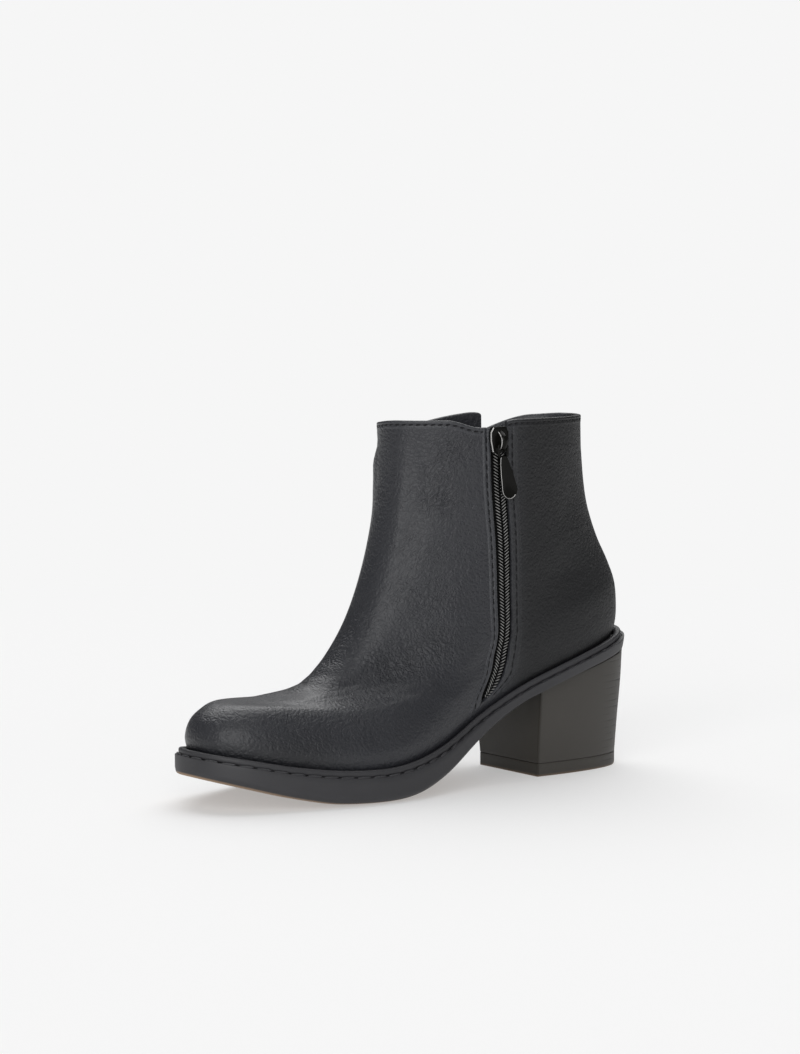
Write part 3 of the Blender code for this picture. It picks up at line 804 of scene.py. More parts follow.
def tape_cloth():
    """The zip's tape: ribs along its length."""
    f = Finish("tape_cloth", Specular_IOR_Level=0.2)
    _, y, z = f.axes()
    ribs = y.wave(0.75 * MM) + z.wave(0.6 * MM) * 0.6
    fuzz = f.noise(1.2 * MM, 3.0)
    colour = f.blend(fuzz, grey(0.003), grey(0.007))
    return f.finish(colour, 0.85 + fuzz * 0.1, ribs * (0.05 * MM))


def coil_plastic():
    """The coil: drawn plastic thread, satin black, with lighter crowns that are a painted highlight."""
    f = Finish("coil_plastic", Specular_IOR_Level=0.6, Coat_Weight=0.3, Coat_Roughness=0.2)
    rub = f.noise(3 * MM, 3.0)
    crown = f.attribute("crown")
    # Painted highlight: the crowns of the teeth are coloured light grey, more so in blotches.
    crown_highlight = crown.between(0.45, 1.0) * (0.5 + rub * 0.5)
    colour = f.blend(crown_highlight, grey(0.005), (0.33, 0.327, 0.318, 1))
    return f.finish(colour, 0.30 + rub * 0.12, rub * (0.05 * MM))


def black_metal():
    """Lacquered zinc, gloss black with a slight orange peel."""
    f = Finish("black_metal", Coat_Weight=0.03, Coat_Roughness=0.08, Specular_IOR_Level=0.1)
    peel = f.noise(1.6 * MM, 2.0)
    smear = f.noise(7 * MM, 4.0)
    colour = f.blend(smear, (0.003, 0.003, 0.0025, 1), (0.006, 0.0057, 0.005, 1))
    return f.finish(colour, 0.2 + smear * 0.12, peel * (0.02 * MM))


def painted_highlight_edge_metal():
    """Painted highlights along edges of the zip's metal: a light, partly metallic finish where the gloss
    black would catch the light.
    """
    f = Finish("painted_highlight_edge_metal", Coat_Weight=0.5, Coat_Roughness=0.12)
    rub = f.noise(2.5 * MM, 4.0)
    # The noise varies the painted highlight's colour, metalness, roughness and relief.
    colour = f.blend(rub, (0.30, 0.296, 0.288, 1), (0.60, 0.594, 0.58, 1))
    f.feed(f.shader.inputs["Metallic"], rub.between(0.2, 0.6) * 0.5 + 0.4)
    return f.finish(colour, 0.26 + rub * 0.15, rub * (0.02 * MM))


def thread_cotton():
    """Sewing thread, charcoal, twisted."""
    f = Finish("thread_cotton", Specular_IOR_Level=0.3)
    x, y, z = f.axes()
    twist = (x + y + z).wave(0.55 * MM)
    fuzz = f.noise(1.0 * MM, 2.0)
    colour = f.blend(fuzz, (0.004, 0.004, 0.005, 1), (0.012, 0.012, 0.014, 1))
    return f.finish(colour, 0.6 + fuzz * 0.2, twist * (0.05 * MM))


def finish_piece(obj, material, slot, *nodes, body="boot"):
    """Gives a piece its material and body, and the solids that it stands for are hidden. The slot is not
    used.
    """
    obj.data.materials.clear()
    obj.data.materials.append(material)
    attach(obj, body)
    if nodes:
        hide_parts(*nodes)


# Upper and lining

# Columns round the upper, those of them before the zip, rows up it, and those of them below the zip
DENSE = (288, 84, 136, 16)
PLAIN = (108, 30, 52, 6)
# How far leather and lining end below the collar, the gap between them, and where the lining begins
UPPER_DROP = 1.6 * MM
LINING_DROP = 3.0 * MM
LINING_GAP = 0.1 * MM
LINING_FOOT_LEVEL = 0.12


def upper_sheet(name, depth, thickness, top_drop, bottom_level, density):
    """A sheet round the last at a depth below its face, slot open, from the sole to under the collar."""
    columns, front, rows, low_rows = density
    column = np.arange(columns + 1)

    def angle_of(column, level):
        before = angle_beside_zip(level, -slot_half(level))
        after = angle_beside_zip(level, slot_half(level))
        rest = (column - front - 1) / (columns - front - 1)
        return np.where(column <= front, before * column / front, after + (2 * math.pi - after) * rest)

    top = np.full(len(column), LEVELS[-1] - 0.4)
    for _ in range(5):
        angles = angle_of(column, top)
        top = level_at_height(angles, collar_height(angles) - top_drop)

    def place(u, v):
        c = nearest(u * columns)
        r = v * rows
        low = bottom_level + (SLOT_END_LEVEL - bottom_level) * r / low_rows
        high = SLOT_END_LEVEL + (top[c] - SLOT_END_LEVEL) * (r - low_rows) / (rows - low_rows)
        level = np.where(r <= low_rows, low, high)
        spots = on_upper(angle_of(c, level), level, -depth)
        spots[:, 2] += np.where(r < 0.5, GAP, 0.0)
        return spots

    def keep(u, v):
        return not (int(u * columns) == front and v * rows > low_rows)

    obj = grid(name, columns, rows, place, keep)
    weld(obj)
    apply(obj, "SOLIDIFY", thickness=thickness, offset=-1, use_even_offset=True)
    smooth_faces(obj, 60)
    return obj


def mark(obj, name, shares):
    """Writes a share at each point as an attribute."""
    attribute = obj.data.attributes.new(name, "FLOAT", "POINT")
    attribute.data.foreach_set("value", shares)


def make_upper(leather, lining):
    upper = upper_sheet("boot_upper", 0.0, LEATHER, UPPER_DROP, 0.0, DENSE)
    mark(upper, "wrinkle", wrinkle_share(points_of(upper) + CENTRE))
    finish_piece(upper, leather, "leather", "upper")
    depth = LEATHER + LINING_GAP
    inside = upper_sheet("shaft_lining", depth, LINING, LINING_DROP, LINING_FOOT_LEVEL, PLAIN)
    finish_piece(inside, lining, "lining")


# The turned edge of the collar: distance below the collar line and height off the leather
COLLAR_PROFILE = np.array([
    [5.0, -0.30], [4.2, -0.08], [3.5, 0.02], [2.9, 0.10], [2.4, 0.10], [1.8, -0.25], [1.3, 0.10],
    [0.8, 0.20], [0.3, 0.10], [0.02, -0.20], [-0.10, -0.70], [-0.10, -1.35], [0.30, -1.95], [1.2, -2.25],
    [3.0, -2.30], [4.6, -2.25], [5.0, -1.6],
]) * MM
COLLAR_STITCH_DROP = 1.8 * MM


def collar_line(count, drop):
    """Angles from behind the zip round the heel and the front to before it, and levels under the collar."""
    top = zip_top(0.0)
    start = angle_beside_zip(top, SLOT_HALF)
    end = angle_beside_zip(top, -SLOT_HALF) + 2 * math.pi
    angle = start + (end - start) * np.linspace(0, 1, count)
    return angle, level_at_height(angle, collar_height(angle) - drop)


def make_collar(leather, thread):
    count = 260

    def place(u, k):
        angle = collar_line(count + 1, 0.0)[0][nearest(u * count)]
        height = collar_height(angle) - COLLAR_PROFILE[k, 0]
        return on_upper(angle, level_at_height(angle, height), COLLAR_PROFILE[k, 1])

    edge = loft("collar_edge", count, COLLAR_PROFILE, place)
    finish_piece(edge, leather, "leather")
    angle, level = collar_line(400, COLLAR_STITCH_DROP)
    path = on_upper(angle, level, -0.05 * MM)
    row = stitch_row("collar_stitches", path, normal(angle, level), *COLLAR_STITCH)
    finish_piece(row, thread, "leather")


# Zip: turned edges (distance from the slot's edge, height off the leather), tape, coil
ZIP_EDGE_PROFILE = np.array([
    [0.05, -1.9], [-0.30, -1.2], [-0.34, -0.65], [-0.28, -0.15], [-0.16, 0.18], [0.3, 0.36], [0.9, 0.36],
    [1.4, 0.16], [1.85, -0.24], [2.3, 0.14], [2.7, 0.36], [3.1, 0.40], [3.5, 0.22], [4.0, -0.02],
    [4.8, -0.30], [5.0, -1.1], [1.2, -1.9],
]) * MM
ZIP_STITCH_REACH = 1.85 * MM
# For each side of the zip: which way it lies, how far its turned edge moves off the slot, and its stretch
ZIP_SIDES = (("front", -1, -1.6 * MM, 0.95), ("back", 1, 0.0, 1.4))
ZIP_FOOT_LEVEL = SLOT_END_LEVEL - 0.06
# How far turned edges, their stitches and the tapes end below the collar
ZIP_EDGE_DROP = 1.5 * MM
ZIP_STITCH_DROP = 4.5 * MM
TAPE_DROP = 2.0 * MM


def zip_levels(count, top_drop):
    """Levels up the zip from its foot to under the collar."""
    return np.linspace(ZIP_FOOT_LEVEL, float(zip_top(top_drop)), count)


def make_zip_edges(leather, thread):
    count = 170
    rows = []
    for name, side, shift, stretch in ZIP_SIDES:
        def place(u, k):
            level = zip_levels(count + 1, ZIP_EDGE_DROP)[nearest(u * count)]
            full = slot_half(level) / SLOT_HALF
            reach = slot_half(level) + shift * full + ZIP_EDGE_PROFILE[k, 0] * stretch
            return on_upper(angle_beside_zip(level, side * reach), level, ZIP_EDGE_PROFILE[k, 1])

        edge = loft("zip_edge_" + name, count, ZIP_EDGE_PROFILE, place)
        finish_piece(edge, leather, "leather")
        level = zip_levels(300, ZIP_STITCH_DROP)
        reach = slot_half(level) * (1 + shift / SLOT_HALF) + ZIP_STITCH_REACH * stretch
        angle = angle_beside_zip(level, side * reach)
        path = on_upper(angle, level, -0.02 * MM)
        rows.append(stitch_row("zip_row_" + name, path, normal(angle, level), *ZIP_STITCH))
    finish_piece(join("zip_stitches", rows), thread, "leather")


TAPE_HALF = 11.5 * MM
TAPE_THICKNESS = 0.7 * MM
TOOTH_PITCH = 1.42 * MM
TOOTH_LENGTH = 3.7 * MM
TOOTH_WIDTH = 0.62 * MM
TOOTH_HEIGHT = 1.2 * MM
TOOTH_REACH = 1.62 * MM
TOOTH_SLANT = math.radians(-34)
TOOTH_DEPTH = 0.55 * MM
COIL_SHIFT = 0.9 * MM
COIL_TOP_Z = SLIDER_Z - 4.0 * MM
COIL_FOOT_LEVEL = SLOT_END_LEVEL + 0.12


def make_zip(tape, coil):
    count = 120
    depth = WALL + GAP
    across = np.linspace(-1, 1, 13)
    profile = np.array([(s, 0.0) for s in across] + [(s, 1.0) for s in across[::-1]])

    def place(u, k):
        level = zip_levels(count + 1, TAPE_DROP)[nearest(u * count)]
        reach = TAPE_HALF * profile[k, 0]
        return on_upper(angle_beside_zip(level, reach), level, -depth - TAPE_THICKNESS * profile[k, 1])

    finish_piece(loft("zip_tapes", count, profile, place), tape, "zip_cloth", "zip_tape")
    top = level_at_height(zip_angle(LEVELS[-2]), COIL_TOP_Z)
    level = np.linspace(COIL_FOOT_LEVEL, float(top), 400)
    full = slot_half(level) / SLOT_HALF
    middle_angle = angle_beside_zip(level, COIL_SHIFT * full)
    middle = on_upper(middle_angle, level, -TOOTH_DEPTH)
    way = normal(middle_angle, level)
    rows = []
    for name, side in (("front", -1), ("back", 1)):
        places, along, across, out = walk(middle, way, TOOTH_PITCH)
        # Teeth of the two rows lie between each other and close up at the zip's lower end
        places = places + along * (0.25 * side * TOOTH_PITCH)
        close = (slot_half(np.interp(places[:, 2], middle[:, 2], level)) / SLOT_HALF)[:, None]
        outward = -side * across
        turned = outward * math.cos(TOOTH_SLANT) - along * math.sin(TOOTH_SLANT)
        spots = places + outward * TOOTH_REACH * close
        seed = thread_seed(TOOTH_LENGTH, TOOTH_WIDTH, TOOTH_HEIGHT)
        crown = np.clip(points_of(seed)[:, 2] * 2 / TOOTH_HEIGHT, 0, 1)
        teeth = copies("zip_teeth_" + name, seed, spots, turned * close, np.cross(out, turned), out)
        mark(teeth, "crown", np.tile(crown, len(spots)))
        rows.append(teeth)
    finish_piece(join("zip_coil", rows), coil, "zip_teeth", "zip_chain")


# Slider and pull, in the slider's own frame: across the zip, up it and out of the boot
SLIDER_HALF_LENGTH = 5.75 * MM
SLIDER_TOP_HALF = 4.3 * MM
SLIDER_FOOT_HALF = 3.2 * MM
SLIDER_LOW = 0.4 * MM
SLIDER_HIGH = 2.4 * MM
BRIDGE_UP = (-4.6 * MM, 4.6 * MM)
BRIDGE_ACROSS = -0.8 * MM
BRIDGE_OUTSIDE = 6.4 * MM
BRIDGE_HALF = 1.4 * MM
PIVOT_UP = -2.2 * MM
PIVOT_OUT = 4.05 * MM
PULL_HEAD_HALF = 2.8 * MM
PULL_HEAD_BLUNTNESS = 0.4
PULL_HALF_THICKNESS = 0.55 * MM
PULL_WIDE_HALF = 3.9 * MM
PULL_WIDE_UP = -22.0 * MM
PULL_SLANT = -3.0 * MM
PULL_END_LENGTH = 4.8 * MM
WINDOW_LENGTH = 5.0 * MM
WING_RADIUS = 0.34 * MM
BRIDGE_RIM_RADIUS = 0.24 * MM
PULL_HEAD_RADIUS = 0.5 * MM
PULL_RIM_RADIUS = 0.16 * MM
POST_LOW = (-2.0 * MM, -4.8 * MM, -1.9 * MM)
POST_HIGH = (2.0 * MM, 4.8 * MM, 1.0 * MM)


def zip_frame():
    """The slider's place on the upper's face, and the ways across the zip, up it and out of the boot."""
    level = level_at_height(math.radians(SECTIONS[-2, -1]), SLIDER_Z)
    for _ in range(4):
        level = level_at_height(zip_angle(level), SLIDER_Z)
    out = normal(zip_angle(level), level)
    up = zip_way(level, 0.1)
    up = unit(up - out * np.dot(up, out))
    return last(zip_angle(level), level), np.stack([np.cross(out, up), up, out])


def finish_metal(obj, material, *nodes, body="boot"):
    """Takes a piece from the slider's frame into the boot and finishes it."""
    place, ways = zip_frame()
    move_points(obj, place - CENTRE + points_of(obj) @ ways)
    finish_piece(obj, material, "black_metal", *nodes, body=body)


def block(name, low, high, bevel, shape=None):
    """A bevelled block between two corners, drawn in or out by shape(points)."""
    obj = primitive(name, bpy.ops.mesh.primitive_cube_add, size=1)
    edit_all(obj)
    bpy.ops.mesh.subdivide(number_cuts=7 if shape else 1)
    bpy.ops.object.mode_set(mode="OBJECT")
    low, high = np.array(low), np.array(high)
    spots = low + (points_of(obj) + 0.5) * (high - low)
    move_points(obj, shape(spots) if shape else spots)
    round_edges(obj, bevel, 50)
    smooth_faces(obj)
    return obj


def rod(name, path, radius, closed=False, flat=1.0):
    """A round or flattened rod along a path in the slider's frame."""
    path = np.array(path)
    sides = 12
    count = len(path) if closed else len(path) - 1

    def place(u, k):
        i = nearest(u * count) % len(path)
        ahead = path[(i + 1) % len(path)] if closed else path[np.minimum(i + 1, len(path) - 1)]
        behind = path[i - 1] if closed else path[np.maximum(i - 1, 0)]
        along = unit(ahead - behind)
        side = np.array([1.0, 0.0, 0.0])
        side = np.where(np.abs(along @ side)[:, None] > 0.9, np.array([0.0, 1.0, 0.0]), side)
        side = unit(side - along * np.sum(along * side, -1, keepdims=True))
        lift = np.cross(along, side)
        turn = 2 * math.pi * k / sides
        ring = side * np.cos(turn)[:, None] + flat * lift * np.sin(turn)[:, None]
        return path[i] + radius * ring + CENTRE

    return loft(name, count, np.arange(sides), place)


def make_slider(metal, highlight_metal):
    def shoulders(spots):
        up = spots[:, 1]
        knots = np.array([-1.0, 0.0, 0.6, 1.0]) * SLIDER_HALF_LENGTH
        half = np.interp(up, knots, [SLIDER_FOOT_HALF, SLIDER_TOP_HALF, SLIDER_TOP_HALF, SLIDER_FOOT_HALF])
        out = spots.copy()
        out[:, 0] = spots[:, 0] * half / SLIDER_TOP_HALF
        return out

    length = SLIDER_HALF_LENGTH
    body = block(
        "slider_plate", (-SLIDER_TOP_HALF, -length, SLIDER_LOW), (SLIDER_TOP_HALF, length, SLIDER_HIGH),
        0.45 * MM, shoulders,
    )
    wings = {}
    for side in (-1, 1):
        foot, top = side * SLIDER_FOOT_HALF, side * SLIDER_TOP_HALF * 0.97
        steps = np.linspace(0, 3, 22)
        across = np.interp(steps, range(4), [foot, top, top, foot * 0.9])
        up = np.interp(steps, range(4), [-length + 0.4 * MM, -0.2 * MM, 3.2 * MM, length - 0.3 * MM])
        line = np.stack([across, up, np.full(len(steps), SLIDER_HIGH - 0.1 * MM)], -1)
        wings[side] = rod("slider_wing", line, WING_RADIUS)
    low, high = BRIDGE_UP
    middle, reach = (low + high) / 2, (high - low) / 2 - 0.5 * MM
    # The bridge is highest over the pull's bar and slopes down to its upper end
    arch = []
    for turn in np.linspace(math.pi, 0, 17):
        along = math.cos(turn)
        rise = math.sin(turn) ** 0.55 if along < 0 else math.cos(along * math.pi / 2) ** 1.5
        height = SLIDER_HIGH - 0.6 * MM + (BRIDGE_OUTSIDE - SLIDER_HIGH) * rise
        arch.append((BRIDGE_ACROSS, middle + reach * along, height))
    bridge = rod("slider_bridge", arch, BRIDGE_HALF, flat=0.5)
    bridge_highlight_rim = rod("bridge_highlight_rim", np.array(arch) + np.array([BRIDGE_HALF, 0, 0.1 * MM]), BRIDGE_RIM_RADIUS)
    post = block("slider_post", POST_LOW, POST_HIGH, 0.3 * MM)
    slider = join("zip_slider_body", [body, bridge, post, wings[-1]])
    finish_metal(slider, metal, "zip_slider")
    # The right wing and the rim along the bridge are painted highlights, in a light metal.
    finish_metal(join("zip_slider_highlight_rims", [wings[1], bridge_highlight_rim]), highlight_metal)


def pull_outline(count):
    """The pull's paddle: a narrow neck that widens to a round end, as points across and up."""
    turns = np.linspace(0, 2 * math.pi, count, endpoint=False)
    neck = PIVOT_UP - WINDOW_LENGTH - 0.2 * MM
    wide = PULL_WIDE_UP
    spots = []
    for turn in turns:
        c, s = math.cos(turn), math.sin(turn)
        if s < 0:
            spots.append((BRIDGE_ACROSS + PULL_SLANT + PULL_WIDE_HALF * c, wide + PULL_END_LENGTH * s))
        else:
            share = s ** 1.1
            half = PULL_WIDE_HALF + (PULL_HEAD_HALF * 0.92 - PULL_WIDE_HALF) * share
            lean = BRIDGE_ACROSS + PULL_SLANT * (1 - share)
            spots.append((lean + half * blunt(c, 0.35), wide + (neck - wide) * share))
    return np.array(spots)


def make_pull(metal, highlight_metal):
    count = 56
    pull = disc("zip_pull_tab", count, 1)
    order = np.argsort(np.arctan2(points_of(pull)[:, 1], points_of(pull)[:, 0]) % (2 * math.pi))
    spots = np.zeros((count, 3))
    spots[order, :2] = pull_outline(count)
    spots[:, 2] = PIVOT_OUT - PULL_HALF_THICKNESS
    move_points(pull, spots)
    edit_all(pull)
    bpy.ops.mesh.normals_make_consistent(inside=False)
    bpy.ops.mesh.extrude_region_move(TRANSFORM_OT_translate={"value": (0, 0, 2 * PULL_HALF_THICKNESS)})
    bpy.ops.mesh.inset(thickness=0.75 * MM)
    bpy.ops.transform.translate(value=(0, 0, -0.32 * MM))
    bpy.ops.mesh.select_all(action="SELECT")
    bpy.ops.mesh.normals_make_consistent(inside=False)
    bpy.ops.object.mode_set(mode="OBJECT")
    round_edges(pull, 0.2 * MM, 40)
    smooth_faces(pull)
    top, bottom, half = PIVOT_UP, PIVOT_UP - WINDOW_LENGTH - 0.4 * MM, PULL_HEAD_HALF - 0.5 * MM
    turns = np.linspace(0, 2 * math.pi, 40, endpoint=False)
    across = BRIDGE_ACROSS + half * blunt(np.cos(turns), PULL_HEAD_BLUNTNESS)
    up = (top + bottom) / 2 + (top - bottom) / 2 * blunt(np.sin(turns), PULL_HEAD_BLUNTNESS)
    loop = np.stack([across, up, np.full(len(turns), PIVOT_OUT)], -1)
    head = rod("pull_head", loop, PULL_HEAD_RADIUS, closed=True)
    finish_metal(join("zip_pull_tab", [pull, head]), metal, "zip_pull", body="zip_pull")
    rim = pull_outline(72)
    middle = np.array([BRIDGE_ACROSS + PULL_SLANT * 0.5, (PULL_WIDE_UP + PIVOT_UP) / 2])
    line = [(*(middle + (p - middle) * np.array([0.92, 0.97])), PIVOT_OUT + 0.5 * MM) for p in rim]
    # The painted highlight rim shows along the front edge and round the end, and not along the back
    bead = rod("zip_pull_highlight_rim", np.roll(line, 28, axis=0)[:45], PULL_RIM_RADIUS)
    finish_metal(bead, highlight_metal, body="zip_pull")


# Strap of the outer side: its stitch rows and rounded edges, as shares of its width
STRAP_STITCH_ROWS = (0.10, 0.90)
STRAP_EDGE = 0.04
# Its rounded tip and the ends of its stitch rows, as shares of its length, and the tip's columns
STRAP_TIP = 0.1
STRAP_STITCH_ENDS = (0.12, 0.955)
STRAP_TIP_COLUMNS = 0.2


def make_strap(leather, thread):
    count = 90
    flat, edge = 14, 5
    # Profile: share of the width from the top edge, and share of the thickness, rounded at both edges
    turns = np.linspace(0, math.pi, edge + 2)[1:-1]
    width = np.linspace(STRAP_EDGE, 1 - STRAP_EDGE, flat)
    face = [(s, 1.0) for s in width]
    foot = [(1 - STRAP_EDGE + STRAP_EDGE * math.sin(t), 0.5 + 0.5 * math.cos(t)) for t in turns]
    back = [(s, 0.0) for s in width[::-1]]
    head = [(STRAP_EDGE - STRAP_EDGE * math.sin(t), 0.5 - 0.5 * math.cos(t)) for t in turns]
    profile = np.array(face + foot + back + head)
    near = GAP + 0.1 * MM

    def spot(share, across, thick):
        angle = np.radians(STRAP_START + share * (STRAP_END - STRAP_START))
        top = smooth(STRAP[:, 0], STRAP[:, 1] * MM, share)
        bottom = smooth(STRAP[:, 0], STRAP[:, 2] * MM, share)
        end = np.clip(share - 1 + STRAP_TIP, 0, STRAP_TIP) / STRAP_TIP * 0.99
        corner = STRAP_CORNER * (1 - np.sqrt(1 - end ** 2))
        level = level_at_height(angle, (top - corner) * (1 - across) + (bottom + corner) * across)
        ramp = 0.06 + 0.94 * np.sin(np.clip(share / STRAP_RAMP, 0, 1) * math.pi / 2) ** 2
        return on_upper(angle, level, near + STRAP_THICKNESS * thick * ramp)

    def place(u, k):
        plain = 1 - STRAP_TIP_COLUMNS
        end = np.sin(np.clip((u - plain) / STRAP_TIP_COLUMNS, 0, 1) * math.pi / 2)
        share = np.where(u < plain, u / plain * (1 - STRAP_TIP), 1 - STRAP_TIP + STRAP_TIP * end)
        # The face sinks a little along the stitch rows
        sunk = sum(0.08 * np.exp(-((profile[k, 0] - row) / 0.02) ** 2) for row in STRAP_STITCH_ROWS)
        return spot(share, profile[k, 0], profile[k, 1] - sunk * (profile[k, 1] > 0.9))

    strap = loft("outer_strap", count, profile, place)
    finish_piece(strap, leather, "leather", "side_strap")
    # The stitches run all round: from the sewn front end along the top, down the free end and back
    round_way = np.array([0, 160, 220, 380, 440])
    steps = np.arange(round_way[-1] + 1)
    start, end = STRAP_STITCH_ENDS
    share = np.interp(steps, round_way, [start, end, end, start, start])
    high, low = STRAP_STITCH_ROWS
    across = np.interp(steps, round_way, [high, high, low, low, high])
    path = spot(share, across, np.full(len(share), 1.02))
    inner = spot(share, across, np.full(len(share), 0.0))
    row = stitch_row("strap_stitches", path, unit(path - inner), *STRAP_STITCH)
    finish_piece(row, thread, "leather")


# Welt, sole and heel

WELT_PROFILE_POINTS = 18
WELT_COLUMNS = 300
WELT_BLUNTNESS = 0.75
STITCH_TURN = math.radians(92)


def make_welt(rubber):
    turns = np.linspace(0, 2 * math.pi, WELT_PROFILE_POINTS, endpoint=False)
    sideways = blunt(np.cos(turns), WELT_BLUNTNESS)
    upward = blunt(np.sin(turns), WELT_BLUNTNESS)

    def place(u, k):
        angle = u * 2 * math.pi
        foot = last(angle, 0 * angle)
        level = level_at_height(angle, foot[:, 2] + WELT_HEIGHT)
        inner = (last(angle, level) + normal(angle, level) * GAP)[:, :2]
        outer = edge_points(angle, -(1 - WELT_SHARE) * sole_value("margin", foot[:, 1]))
        plan = (inner + outer) / 2 + (outer - inner) / 2 * sideways[k][:, None]
        height = sole_value("top", plan[:, 1]) + WELT_HEIGHT * (0.5 + 0.5 * upward[k])
        return np.column_stack([plan, height])

    bead = loft("welt_bead", WELT_COLUMNS, turns, place)
    finish_piece(bead, rubber, "rubber", "welt")
    rows = []
    for name, low, high, stitch in (
        ("foot", -STITCH_TURN, STITCH_TURN, WELT_FOOT_STITCH),
        ("heel", STITCH_TURN, 2 * math.pi - STITCH_TURN, WELT_HEEL_STITCH),
    ):
        angle = np.linspace(low, high, 1200)
        margin = sole_value("margin", last(angle, 0 * angle)[:, 1])
        plan = edge_points(angle, -(1 - WELT_SHARE) * 0.72 * margin)
        path = np.column_stack([plan, sole_value("top", plan[:, 1]) + 0.15 * MM])
        outward = edge_points(angle, 0.0) - plan
        way = unit(np.column_stack([outward, 0.6 * np.linalg.norm(outward, axis=1)]))
        rows.append(stitch_row("welt_row_" + name, path, way, *stitch))
    finish_piece(join("welt_stitches", rows), rubber, "rubber")


def spine_loft(name, columns, profile, margin, heights):
    """A slab round the feather line: each profile row is a share of the way from the spine to the edge."""
    def place(u, v):
        k = nearest(v * (len(profile) - 1))
        angle = u * 2 * math.pi
        edge, other = margin(angle, profile[k]), margin(-angle, profile[k])
        spine = (edge + other) / 2
        plan = spine + (edge - spine) * profile[k, 0][:, None]
        return np.column_stack([plan, heights(plan[:, 1], profile[k])])

    obj = grid(name, columns, len(profile) - 1, place)
    weld(obj, close=True)
    return obj


# Sole: shares of the way out from the spine, of the height (1 top, 0 bottom) and of the rounded edge
SOLE_PROFILE = np.array([
    [0, 1, 0], [0.45, 1, 0], [0.85, 1, 0], [0.975, 1, 0], [0.992, 0.985, 0],
    [1, 0.93, 0], [1, 0.75, 0.2], [1, 0.5, 0.5], [1, 0.25, 0.8], [1, 0.1, 0.95],
    [0.998, 0.03, 0.95], [0.985, 0, 0.80], [0.96, 0, 0.45], [0.92, 0, 0.22], [0.86, 0, 0.08],
    [0.72, 0, 0], [0.4, 0, 0], [0, 0, 0],
])
HEEL_DRAW = 0.8 * MM
HEEL_DRAW_RUN = 30.0 * MM


def make_sole(rubber):
    def heights(y, row):
        top, bottom = sole_value("top", y), np.maximum(sole_bottom(y), 0)
        lift = row[:, 2] * sole_rounding(y) * SOLE_EDGE_LIFT
        return bottom + (top - bottom) * row[:, 1] + lift * (1 - row[:, 1])

    def rim(angle, row):
        back = np.clip((last(angle, 0 * angle)[:, 1] - HEEL_BREAST_Y) / HEEL_DRAW_RUN, 0, 1)
        return edge_points(angle, -HEEL_DRAW * back * (1 - row[:, 1]) ** 1.5)

    sole = spine_loft("sole", 300, SOLE_PROFILE, rim, heights)
    smooth_faces(sole, 35)
    spots = points_of(sole) + CENTRE
    bottom = np.maximum(sole_bottom(spots[:, 1]), 0)
    fade = sole_rounding(spots[:, 1])
    lift = (spots[:, 2] - bottom) / (SOLE_EDGE_LIFT * np.maximum(fade, 0.12))
    mark(sole, "underside", np.clip((0.42 - lift) / 0.12, 0, 1) * (fade >= 1))
    finish_piece(sole, rubber, "rubber", "outsole")


def heel_edge(turn, depth):
    """The heel's outline in plan at shares of its depth: along the breast, then round the back."""
    row = [smooth(HEEL[:, 0], HEEL[:, i], depth) for i in range(len(HEEL_COLUMNS))]
    _, inner, outer, back, power = row
    breast = 0.22
    t = np.clip((turn - breast) / (1 - breast), 0, 1) * math.pi
    half = np.abs(np.cos(t)) ** (2 / power) * np.where(t <= math.pi / 2, inner, -outer)
    along = np.sin(t) ** (2 / power)
    x = np.where(turn < breast, -outer + (inner + outer) * turn / breast, half)
    y = HEEL_BREAST_Y / MM + np.where(turn < breast, 0, along * (back - HEEL_BREAST_Y / MM))
    return np.stack([x, y], -1) * MM


def heel_lift(y):
    """How far the heel's underside rises off the floor towards its back."""
    back = (HEEL[-1, HEEL_COLUMNS.index("back")] * MM - y) / HEEL_TIP_LIFT_RUN
    return HEEL_TIP_LIFT * np.clip(1 - back, 0, 1) ** 2


HEEL_GROOVE = 0.07


def make_heel(rubber):
    joint = HEEL_TIP_HEIGHT + GAP / 3
    depths = np.concatenate([[0, 0.028, 0.036], np.linspace(0.05, 1, 26)])
    middle = np.array([0, (HEEL_BREAST_Y + HEEL[0, HEEL_COLUMNS.index("back")] * MM) / 2])

    def block_place(u, v):
        row = nearest(v * (len(depths) - 1))
        depth = depths[row]
        plan = heel_edge(u % 1, depth)
        plan = middle + (plan - middle) * np.where(row < 2, 1 - HEEL_GROOVE, 1)[:, None]
        top = sole_value("bottom", heel_edge(u % 1, 0 * v)[:, 1]) - GAP / 3
        return np.column_stack([plan, top * (1 - depth) + joint * depth])

    def piece(name, rows, place):
        obj = grid(name, 200, rows, place)
        weld(obj, close=True)
        round_edges(obj, 0.2 * MM, 45)
        smooth_faces(obj, 35)
        return obj

    stack = piece("heel_stack", len(depths) - 1, block_place)
    mark(stack, "underside", np.zeros(len(stack.data.vertices)))
    finish_piece(stack, rubber, "rubber", "heel_block")

    def lift_place(u, v):
        plan = heel_edge(u % 1, np.ones(len(u)))
        return np.column_stack([plan, HEEL_TIP_HEIGHT * (1 - v) + heel_lift(plan[:, 1]) * v])

    lift = piece("heel_top_lift", 5, lift_place)
    spots = points_of(lift)
    floor = spots[:, 2] - heel_lift(spots[:, 1] + CENTRE[1])
    mark(lift, "underside", np.clip(1 - floor / (0.3 * MM), 0, 1))
    finish_piece(lift, rubber, "rubber", "heel_tip")


# Foot bed: share of the way out from the spine, share of the thickness
BED_PROFILE = np.array([
    [0, 1], [0.5, 1], [0.85, 1.05], [0.96, 1.15], [1, 1], [1, 0], [0.6, 0], [0, 0],
])


